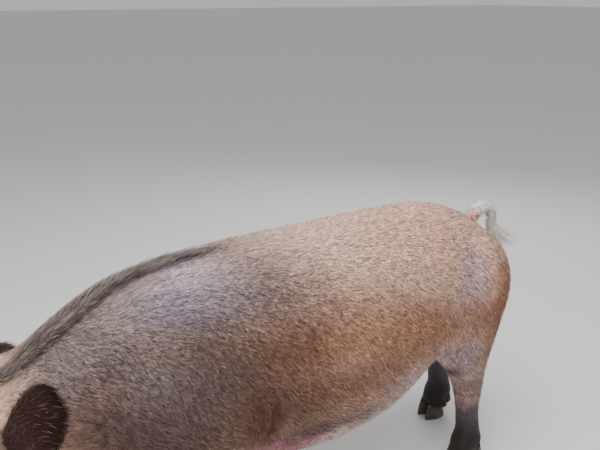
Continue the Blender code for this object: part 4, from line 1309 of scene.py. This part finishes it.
def tuft_piece(name, roots, ahead, length, width, lift, colours, tip_shade):
    """One mesh of thin three-sided tufts, each a closed spike from its root to its tip."""
    across = unit(np.cross(roots.normals, ahead))
    rise = unit(swung(ahead, roots.normals, lift))
    above = unit(np.cross(rise, across))
    base = roots.points - roots.normals * 0.0012
    half = (width / 2)[:, None]
    tip = base + rise * length[:, None]
    ends = (base + across * half, base - across * half, base + above * half * 0.55, tip)
    shades = np.repeat(colours[:, None], 4, axis=1)
    shades[:, 3] *= tip_shade[:, None]
    return joined_mesh(name, np.stack(ends, axis=1), TUFT_FACES, TUFT_SPREAD, roots.layout, shades)


def strand_piece(name, roots, ahead, rise, length, width, bow, root_colour, tip_colour):
    """One mesh of long hairs: three-sided tapered tubes that rise from the skin and bend back along it."""
    ahead = unit(ahead)
    rise = unit(rise - ahead * np.sum(rise * ahead, axis=1)[:, None])
    across = unit(np.cross(rise, ahead))
    corners = []
    shades = []
    for step, share in zip(STRAND_STEPS, STRAND_WIDTHS):
        height = (length * bow * step * (1 - 0.55 * step))[:, None]
        middle = roots.points + ahead * (length * step)[:, None] + rise * (height - 0.002 * (step == 0))
        for turn in (0, 2 * math.pi / 3, 4 * math.pi / 3):
            spoke = across * math.cos(turn) + rise * math.sin(turn)
            corners.append(middle + spoke * (width * share / 2)[:, None])
            shades.append(root_colour * (1 - step) + tip_colour * step)
    corners.append(roots.points + ahead * length[:, None] + rise * (length * bow * 0.45)[:, None])
    shades.append(tip_colour)
    corners, shades = (np.stack(values, axis=1) for values in (corners, shades))
    return joined_mesh(name, corners, strand_faces(), strand_spread(), roots.layout, shades)


def off_middle(points):
    """How far each point is from the boar's middle line, seen from above."""
    return points[:, 1] - (points[:, 0] - NECK_HINGE_X) * np.sin(neck_turn(points[:, 0]))


def some_of(roots, chosen):
    return Roots(roots.points[chosen], roots.normals[chosen], roots.layout[chosen])


def coat_density(points, facing):
    """How close the clumps stand: close on face, ears and lower legs, thin on the snout's end and belly."""
    place = skull_coordinates(points)
    snout = 1 - 0.97 * blend(place[:, 0], 0.34, 0.375)
    face = 1 + 1.3 * blend(place[:, 0], -0.02, 0.08)
    legs = 1 + 0.5 * (1 - blend(points[:, 2], 0.20, 0.36))
    bare = 1 - 0.62 * belly_share(points, facing)
    ears = 1 + 1.8 * ear_share(points)
    return snout * face * legs * bare * ears


def coat(skin):
    """The short coat: clumps of a few thin tufts that share a shade and lie along the body."""
    clumps = CLUMPS
    seeds = scatter(skin, clumps, coat_density)
    head = blend(skull_coordinates(seeds.points)[:, 0], -0.02, 0.10)
    ears = ear_share(seeds.points)
    plain = np.maximum(mud_share(seeds.points), ears)
    ahead = lie(seeds.points, seeds.normals)
    across = np.cross(seeds.normals, ahead)
    ahead = unit(ahead + across * chance.normal(0, LIE_SPREAD, clumps)[:, None])
    shade = np.exp(chance.normal(-0.34, 0.38, clumps) * (1 - 0.45 * head))
    shade = np.where(chance.random(clumps) < PALE_SHARE, shade * PALE_GAIN, shade)
    shade = np.where(chance.random(clumps) < DARK_SHARE, shade * DARK_GAIN, shade)
    shade = shade ** (1 - 0.7 * plain)
    tint = 1 + chance.normal(0, 0.035, (clumps, 3))
    colours = hide_colour(seeds.points, seeds.normals) * shade[:, None] * tint
    depth = coat_depth(seeds.points) / BODY_COAT * (1 + 0.25 * ears)
    length = TUFT_LENGTH * depth**0.9 * chance.uniform(0.75, 1.15, clumps)
    lift = chance.uniform(*COAT_LIFT, clumps)

    member = np.repeat(np.arange(clumps), CLUMP_TUFTS)
    count = len(member)
    along = chance.uniform(-0.004, 0.004, count) * depth[member]
    aside = chance.normal(0, 0.0006, count) * depth[member] ** 0.5
    points = seeds.points[member] + ahead[member] * along[:, None] + across[member] * aside[:, None]
    stray = chance.normal(0, 0.06, count)
    way = unit(ahead[member] - across[member] * (aside / 0.030)[:, None] + across[member] * stray[:, None])
    layout = seeds.layout[member] + chance.uniform(-1, 1, (count, 2)) * LAYOUT_CELL / 2
    roots = Roots(points, seeds.normals[member], layout)
    lengths = length[member] * chance.uniform(0.8, 1.15, count)
    widths = TUFT_WIDTH * depth[member] ** 0.5 * chance.uniform(0.75, 1.25, count)
    lifts = np.radians(lift[member] + chance.uniform(-3, 3, count))
    shades = colours[member] * np.exp(chance.normal(0, 0.12, count))[:, None]
    clean = 1 - 0.85 * plain
    tip_shades = (1 + clean * chance.uniform(0.1, 1.0, clumps))[member]
    pieces = []
    order = np.argsort(points[:, 0], kind="stable")
    for number, start in enumerate(range(0, count, PIECE_TUFTS)):
        part = order[start : start + PIECE_TUFTS]
        rest = (values[part] for values in (way, lengths, widths, lifts, shades, tip_shades))
        pieces.append(tuft_piece(f"coat_{number + 1}", some_of(roots, part), *rest))
    return pieces


def mane_density(points, facing):
    x = points[:, 0]
    crest = bell(off_middle(points), 0.021) * (points[:, 2] > 0.50)
    return crest * between(x, -0.90, -0.84, -0.50, MANE_END_X) + 1e-9


def mane(skin):
    """Bristles down the crest, in loose locks that lie back over the neck and the withers."""
    count = MANE_HAIRS
    roots = scatter(skin, count, mane_density)
    x = roots.points[:, 0]
    part = np.clip((x - MANE_START_X) / (MANE_END_X - MANE_START_X), 0, 1)
    full = np.sin(np.pi * (0.20 + 0.72 * part)) ** 0.7
    aside = off_middle(roots.points)
    cell = np.floor(x / 0.013) + 57 * np.floor(aside / 0.008)
    lock = np.modf(np.sin(cell * 12.9898) * 43758.5453)[0]
    other = np.modf(np.sin(cell * 78.233) * 12543.1237)[0]
    length = MANE_LENGTH * full * (1 + 0.14 * lock) * chance.uniform(0.50, 1.12, count)
    beside = np.clip(np.abs(aside) / 0.042, 0, 1)
    length *= 1 - 0.65 * beside
    lift = np.radians(10 - 3 * part + 3 * other - 7 * beside + chance.normal(0, 4.2, count))
    lean = 5.0 * aside + 0.14 * lock + chance.normal(0, 0.07, count)
    lean = lean[:, None] * np.array([0.0, 1.0, 0.0])
    ahead = unit(swung(lie(roots.points, roots.normals), roots.normals, lift) + lean)
    shade = np.exp(chance.normal(0, 0.34, count) + 0.12 * other)[:, None]
    hide = 0.8 * hide_colour(roots.points, roots.normals)
    dark = mixed(linear(*MANE_ROOT), hide, beside[:, None] ** 2) * shade
    pale = linear(*MANE_TIP) * shade
    tip = np.where((chance.random(count) < 0.78 - beside)[:, None], pale, dark * 1.3)
    width = chance.uniform(0.0008, 0.0014, count)
    return strand_piece("mane", roots, ahead, roots.normals, length, width, HAIR_BOW, dark, tip)


def switch(skin):
    """The tail's hair: short over the arch, then long pale bristles that stream out behind the end."""
    count = SWITCH_HAIRS
    path = np.array(tail_path())
    last = len(path) - 1
    place = (0.22 + 0.78 * chance.random(count) ** 0.62) * last
    at = np.minimum(place.astype(int), last - 1)
    share = (place - at)[:, None]
    middle = mixed(path[at], path[at + 1], share)
    down = unit(path[at + 1] - path[at])
    swing = chance.random(count) * 2 * math.pi
    sideways = np.array([0.0, 1.0, 0.0])
    across = unit(np.cross(down, sideways))
    outward = swung(across, sideways, swing)
    radius = TAIL_RADIUS * (1.1 - 0.5 * place / last)
    points = middle + outward * (radius * 0.9)[:, None]
    end = blend(place / last, 0.72, 0.96)[:, None]
    stray = chance.normal(0, 1, (count, 3)) * (0.05 + 0.11 * end)
    stream = np.array([0.85, -0.06, -0.22])
    ahead = down * (1 - 0.80 * end) + stream * end + outward * (0.10 + 0.14 * end) + stray
    length = chance.uniform(0.75, 1.1, count) * (0.026 + (SWITCH_LENGTH - 0.026) * end[:, 0])
    roots = Roots(points, outward, nearest_layout(skin, points))
    shade = np.exp(chance.normal(0, 0.12, count))[:, None]
    root_colour = linear(*SWITCH_ROOT) * shade
    tip_colour = mixed(linear(*SWITCH_MIDDLE), linear(*SWITCH_END), end) * shade
    width = chance.uniform(0.0009, 0.0016, count)
    return strand_piece("switch", roots, ahead, outward, length, width, HAIR_BOW, root_colour, tip_colour)


def bristle_density(points, facing):
    """Single longer hairs: many on the muzzle's sides, brows, chin and ears, some under the belly."""
    place = half_head(points)
    along, across, up = place.T
    height = points[:, 2]
    muzzle = between(along, 0.16, 0.30, 0.355, 0.375) * (up < 0.02) * (across > 0.015)
    brow = bell(along - 0.105, 0.030) * bell(across - 0.095, 0.025) * (up > 0.040)
    chin = blend(along, 0.0, 0.10) * (up < -0.075)
    belly = (1 - blend(height, 0.22, 0.36)) * (np.abs(points[:, 1]) < 0.20) * (height > 0.19)
    legs = 1 - blend(height, 0.16, 0.20)
    fringe = (height < FRINGE_HEIGHT) * 1.0
    ears = ear_share(points)
    hairs = 26 * fringe + 0.45 + 9 * muzzle + 14 * brow + 8 * chin + 7 * ears + 2.0 * belly - 0.4 * legs
    return hairs * blend(from_eye(place), 0.024, 0.036) + 1e-6


def bristles(skin):
    """The single longer hairs of face, ears, belly and outline."""
    count = BRISTLES
    roots = scatter(skin, count, bristle_density)
    place = skull_coordinates(roots.points)
    face = blend(place[:, 0], 0.02, 0.12)
    ears = (np.abs(place[:, 1]) > 0.105) * face
    fringe = roots.points[:, 2] < FRINGE_HEIGHT
    full = (0.030 * (1 - face) + 0.019 * face + 0.010 * ears) * (1 - 0.35 * fringe)
    length = full * chance.uniform(0.6, 1.25, count)
    lift = np.radians(14 + 18 * face - 8 * fringe + chance.normal(0, 5, count))
    back = lie(roots.points, roots.normals)
    sideways = np.cross(roots.normals, back) * chance.normal(0, 0.22, count)[:, None]
    ahead = unit(swung(back, roots.normals, lift) + sideways)
    shade = np.exp(chance.normal(0, 0.35, count))[:, None]
    root_colour = hide_colour(roots.points, roots.normals) * 0.70 * shade
    pale = np.maximum(root_colour * 1.5, linear(*BRISTLE_TIP) * shade)
    tip = np.where(fringe[:, None], root_colour * 1.4, pale)
    width = 0.0011 - 0.0003 * face
    return strand_piece("bristles", roots, ahead, roots.normals, length, width, HAIR_BOW, root_colour, tip)


def lashes(skin, eyes):
    """Stiff lashes along both lids, longer on the upper one."""
    rows = []
    for middle, outward in eyes.values():
        look, corner, upright = eye_axes(outward)
        for along in np.linspace(-0.0122, 0.0122, LASHES):
            for side, bow, size in ((1, UPPER_LID, 0.015), (-1, LOWER_LID, 0.007)):
                u = along + chance.normal(0, 0.0003)
                v = side * (bow * (1 - (u / EYE_SLIT) ** 2) + 0.0012)
                w = math.sqrt((EYE_RADIUS + LID_THICKNESS) ** 2 - u * u - v * v) - 0.0008
                point = np.array(middle) + corner * u + upright * v + look * w
                way = look * 0.85 + upright * side * 0.50 + corner * (u / EYE_SLIT * 0.55 - 0.15)
                way = way + chance.normal(0, 0.07, 3)
                rows.append((*point, *way, *(upright * side), size * chance.uniform(0.7, 1.1)))
    rows = np.array(rows)
    points = rows[:, :3]
    roots = Roots(points, unit(rows[:, 3:6]), nearest_layout(skin, points))
    dark, pale = (np.tile(linear(*colour), (len(rows), 1)) for colour in (LASH_ROOT, LASH_TIP))
    width = np.full(len(rows), 0.0007)
    return strand_piece("lashes", roots, rows[:, 3:6], rows[:, 6:9], rows[:, 9], width, LASH_BOW, dark, pale)


def nearest_layout(skin, points):
    """The place on the skin's flat layout of the skin nearest to each point."""
    flat = layout_of(skin)
    surface = surface_of(skin)
    made = []
    for point in points:
        _, _, face, _ = surface.find_nearest(Vector(point))
        made.append(flat[skin.data.polygons[face].loop_start])
    return np.array(made)


def new_material(name):
    material = bpy.data.materials.new(name)
    material.use_nodes = True
    tree = material.node_tree
    return material, tree, tree.nodes["Principled BSDF"]


def feed(tree, node, inputs):
    """Gives a node its inputs: each is a value, or another node's output to link."""
    for name, value in inputs.items():
        if isinstance(value, bpy.types.NodeSocket):
            tree.links.new(value, node.inputs[name])
        else:
            node.inputs[name].default_value = value
    return node


def attribute(tree, name, output="Color"):
    node = tree.nodes.new("ShaderNodeAttribute")
    node.attribute_name = name
    return node.outputs[output]


def noise_at(tree, place, scale, detail):
    """A noise pattern of about the given number of swells a metre."""
    node = tree.nodes.new("ShaderNodeTexNoise")
    return feed(tree, node, {"Scale": scale, "Detail": detail, "Vector": place}).outputs["Fac"]


def ramp_between(tree, value, stops):
    """A colour ramp: each stop is a place from 0 to 1 and a linear colour, or one number for a grey."""
    node = tree.nodes.new("ShaderNodeValToRGB")
    while len(node.color_ramp.elements) < len(stops):
        node.color_ramp.elements.new(0.5)
    for element, (where, colour) in zip(node.color_ramp.elements, stops):
        element.position = where
        element.color = (*(colour if isinstance(colour, tuple) else (colour,) * 3), 1)
    return feed(tree, node, {"Fac": value}).outputs["Color"]


def multiplied(tree, one, other, share):
    """One colour multiplied by another, as far as a number or a node's output says."""
    node = tree.nodes.new("ShaderNodeMix")
    node.data_type = "RGBA"
    node.blend_type = "MULTIPLY"
    return feed(tree, node, {"Factor": share, "A": one, "B": other}).outputs["Result"]


def bump_from(tree, shader, height, depth, strength, before=None):
    """Raises the shader's surface by a height, over the bump before it."""
    inputs = {"Distance": depth, "Strength": strength, "Height": height}
    if before is not None:
        inputs["Normal"] = before
    bump = feed(tree, tree.nodes.new("ShaderNodeBump"), inputs).outputs["Normal"]
    tree.links.new(bump, shader.inputs["Normal"])
    return bump


def skin_material():
    """Thick hide: the painted colours, finely mottled, with pores, fine wrinkles and coarse grain."""
    material, tree, shader = new_material("skin")
    place = tree.nodes.new("ShaderNodeTexCoord").outputs["Object"]
    spots = ramp_between(tree, noise_at(tree, place, 210, 5), ((0.30, (0.74, 0.68, 0.65)), (0.62, 1.0)))
    colour = multiplied(tree, attribute(tree, "hide_colour"), spots, 0.8)
    dust = ramp_between(tree, noise_at(tree, place, 48, 7), ((0.46, 1.0), (0.66, (0.66, 0.60, 0.56))))
    colour = multiplied(tree, colour, dust, 0.75)
    flow = tree.nodes.new("ShaderNodeMapping")
    flow.vector_type = "TEXTURE"
    swells = (1 / 70, 1 / 420, 1 / 420)
    feed(tree, flow, {"Rotation": (0, math.radians(34), 0), "Scale": swells, "Vector": place})
    hairs = noise_at(tree, flow.outputs["Vector"], 1.0, 4)
    stops = ((0.34, (0.42, 0.38, 0.36)), (0.50, (0.80, 0.78, 0.76)), (0.66, (1.3, 1.28, 1.25)))
    streaks = ramp_between(tree, hairs, stops)
    colour = multiplied(tree, colour, streaks, attribute(tree, "trunk_share", "Fac"))
    pores = tree.nodes.new("ShaderNodeTexVoronoi")
    pores.feature = "DISTANCE_TO_EDGE"
    feed(tree, pores, {"Scale": 420, "Vector": place})
    coarse = bump_from(tree, shader, noise_at(tree, place, 85, 8), 0.0020, 0.8)
    bump_from(tree, shader, pores.outputs["Distance"], 0.0005, 0.35, coarse)
    gloss = ramp_between(tree, noise_at(tree, place, 34, 4), ((0.3, 0.44), (0.7, 0.66)))
    feed(tree, shader, {"Base Color": colour, "Roughness": gloss, "Specular IOR Level": 0.34})
    return material


def coat_material():
    """Dull hair in its painted colours."""
    material, tree, shader = new_material("coat")
    colour = attribute(tree, "coat_colour")
    feed(tree, shader, {"Base Color": colour, "Roughness": 0.50, "Specular IOR Level": 0.24})
    return material


def horn_material():
    """Claw horn: dark grey-brown growth rings, with patches of dried mud and uneven gloss."""
    material, tree, shader = new_material("claw_horn")
    place = tree.nodes.new("ShaderNodeTexCoord").outputs["Object"]
    rings = tree.nodes.new("ShaderNodeTexWave")
    rings.wave_type = "BANDS"
    rings.bands_direction = "Z"
    bands = {"Scale": 40, "Distortion": 5.0, "Detail": 3, "Detail Scale": 2.0, "Vector": place}
    height = feed(tree, rings, bands).outputs["Fac"]
    horn = ramp_between(tree, height, ((0.0, (0.052, 0.043, 0.038)), (1.0, (0.082, 0.068, 0.060))))
    mud = ramp_between(tree, noise_at(tree, place, 55, 6), ((0.42, 1.0), (0.60, (0.55, 0.48, 0.44))))
    gloss = ramp_between(tree, noise_at(tree, place, 40, 3), ((0.35, 0.42), (0.65, 0.75)))
    feed(tree, shader, {"Base Color": multiplied(tree, horn, mud, 0.9), "Roughness": gloss})
    ridges = bump_from(tree, shader, height, 0.0005, 0.4)
    bump_from(tree, shader, noise_at(tree, place, 160, 6), 0.0008, 0.7, ridges)
    return material


def eye_material():
    """A wet eyeball."""
    material, tree, shader = new_material("eye")
    feed(tree, shader, {"Base Color": attribute(tree, "eye_colour"), "Roughness": 0.05, "IOR": 1.36})
    return material


def put_on_model(obj):
    """Moves a finished piece from the boar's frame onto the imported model, with its object at the origin."""
    set_coordinates(obj, coordinates(obj) + np.array(MODEL_STEP))


FLOOR_COLOUR = (0.72, 0.71, 0.69, 1)
SKY_COLOUR = (0.93, 0.96, 1.0, 1)
SKY_STRENGTH = 0.55

# Each lamp's name, place, target, size and power
LAMPS = (
    ("top_light", (-0.6, -0.8, 3.4), (0.0, 0.0, 0.5), 2.6, 135),
    ("side_light", (-3.0, -2.6, 2.2), (-0.2, 0.0, 0.5), 2.0, 45),
    ("back_light", (2.4, 2.2, 2.4), (0.2, 0.0, 0.6), 1.8, 40),
)


def camera_and_light():
    """The photograph's view, a pale floor and soft studio light."""
    camera = new_object("camera", bpy.data.cameras.new("camera"))
    camera.data.lens = CAMERA_LENS
    camera.data.sensor_width = 36.0
    camera.data.clip_start = 0.05
    camera.location = CAMERA_PLACE + MODEL_STEP
    camera.rotation_euler = (math.pi / 2 - CAMERA_PITCH, 0, CAMERA_HEADING)
    bpy.context.scene.camera = camera

    bm = bmesh.new()
    bmesh.ops.create_grid(bm, x_segments=1, y_segments=1, size=60.0)
    floor = mesh_object("floor", bm)
    material, tree, shader = new_material("pale_floor")
    feed(tree, shader, {"Base Color": FLOOR_COLOUR, "Roughness": 0.9})
    floor.data.materials.append(material)

    world = bpy.data.worlds.new("studio")
    world.use_nodes = True
    tree = world.node_tree
    feed(tree, tree.nodes["Background"], {"Color": SKY_COLOUR, "Strength": SKY_STRENGTH})
    bpy.context.scene.world = world
    for name, place, target, size, power in LAMPS:
        lamp = bpy.data.lights.new(name, "AREA")
        lamp.size = size
        lamp.energy = power
        holder = new_object(name, lamp)
        holder.location = place
        holder.rotation_euler = (Vector(place) - Vector(target)).to_track_quat("Z", "Y").to_euler()


def main():
    global MODEL_STEP
    MODEL_STEP = find_model_step()
    skin = base_flesh()
    cut_feet(skin)
    eyes = eye_places()
    refine(skin, in_head)
    refine(skin, near_body_folds)
    press_body_folds(skin)
    refine(skin, in_face)
    refine(skin, near_eyes(eyes, 0.040))
    refine(skin, near_nostrils)
    press_folds(skin)
    carve_face(skin)
    sculpt_lids(skin, eyes)
    ears = [ear("ear_" + name, side) for name, side in SIDES.items()]
    EAR_SURFACES.extend(surface_of(piece) for piece in ears)
    path = tail_path()
    radii = [TAIL_RADIUS * (1.1 - 0.5 * i / (len(path) - 1)) for i in range(len(path))]
    unite(skin, ears + [tube("tail", path, radii, 16)])
    unwrap(skin, "skin_layout")
    skin.data.shade_smooth()
    # Painted shade: the skin is darkened in the folds of the face and trunk and along the mouth's line
    shade = 1 - 0.55 * crease_share(coordinates(skin))
    paint(skin, "hide_colour", hide_colour(coordinates(skin), normals_of(skin)) * shade[:, None])
    points = coordinates(skin)
    trunk = 1 - blend(skull_coordinates(points)[:, 0], -0.06, 0.02)
    trunk *= blend(points[:, 2], 0.30, 0.42) * (1 - ear_share(points))
    paint(skin, "trunk_share", np.repeat(trunk[:, None], 3, axis=1))

    pieces = coat(skin)
    pieces += [mane(skin), switch(skin), bristles(skin), lashes(skin, eyes)]
    material = coat_material()
    for piece in pieces:
        piece.data.materials.append(material)

    skin.data.materials.clear()
    skin.data.materials.append(skin_material())
    flesh = ["torso", "neck", "head", "tail", "ear_left", "ear_right"]
    flesh += [f"{leg}_leg_{side}" for leg in ("fore", "hind") for side in SIDES]
    for piece in (skin, *pieces):
        put_on_model(piece)
        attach(piece, "root")
    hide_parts(*flesh)

    horn = horn_material()
    wet = eye_material()
    for name, (middle, outward) in eyes.items():
        ball = eyeball("eyeball_" + name, middle, outward)
        ball.data.materials.append(wet)
        put_on_model(ball)
        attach(ball, "root")
        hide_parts("eye_" + name)
    for name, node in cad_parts.items():
        if "claw" in name:
            node.data.materials.clear()
            node.data.materials.append(horn)
    camera_and_light()


main()
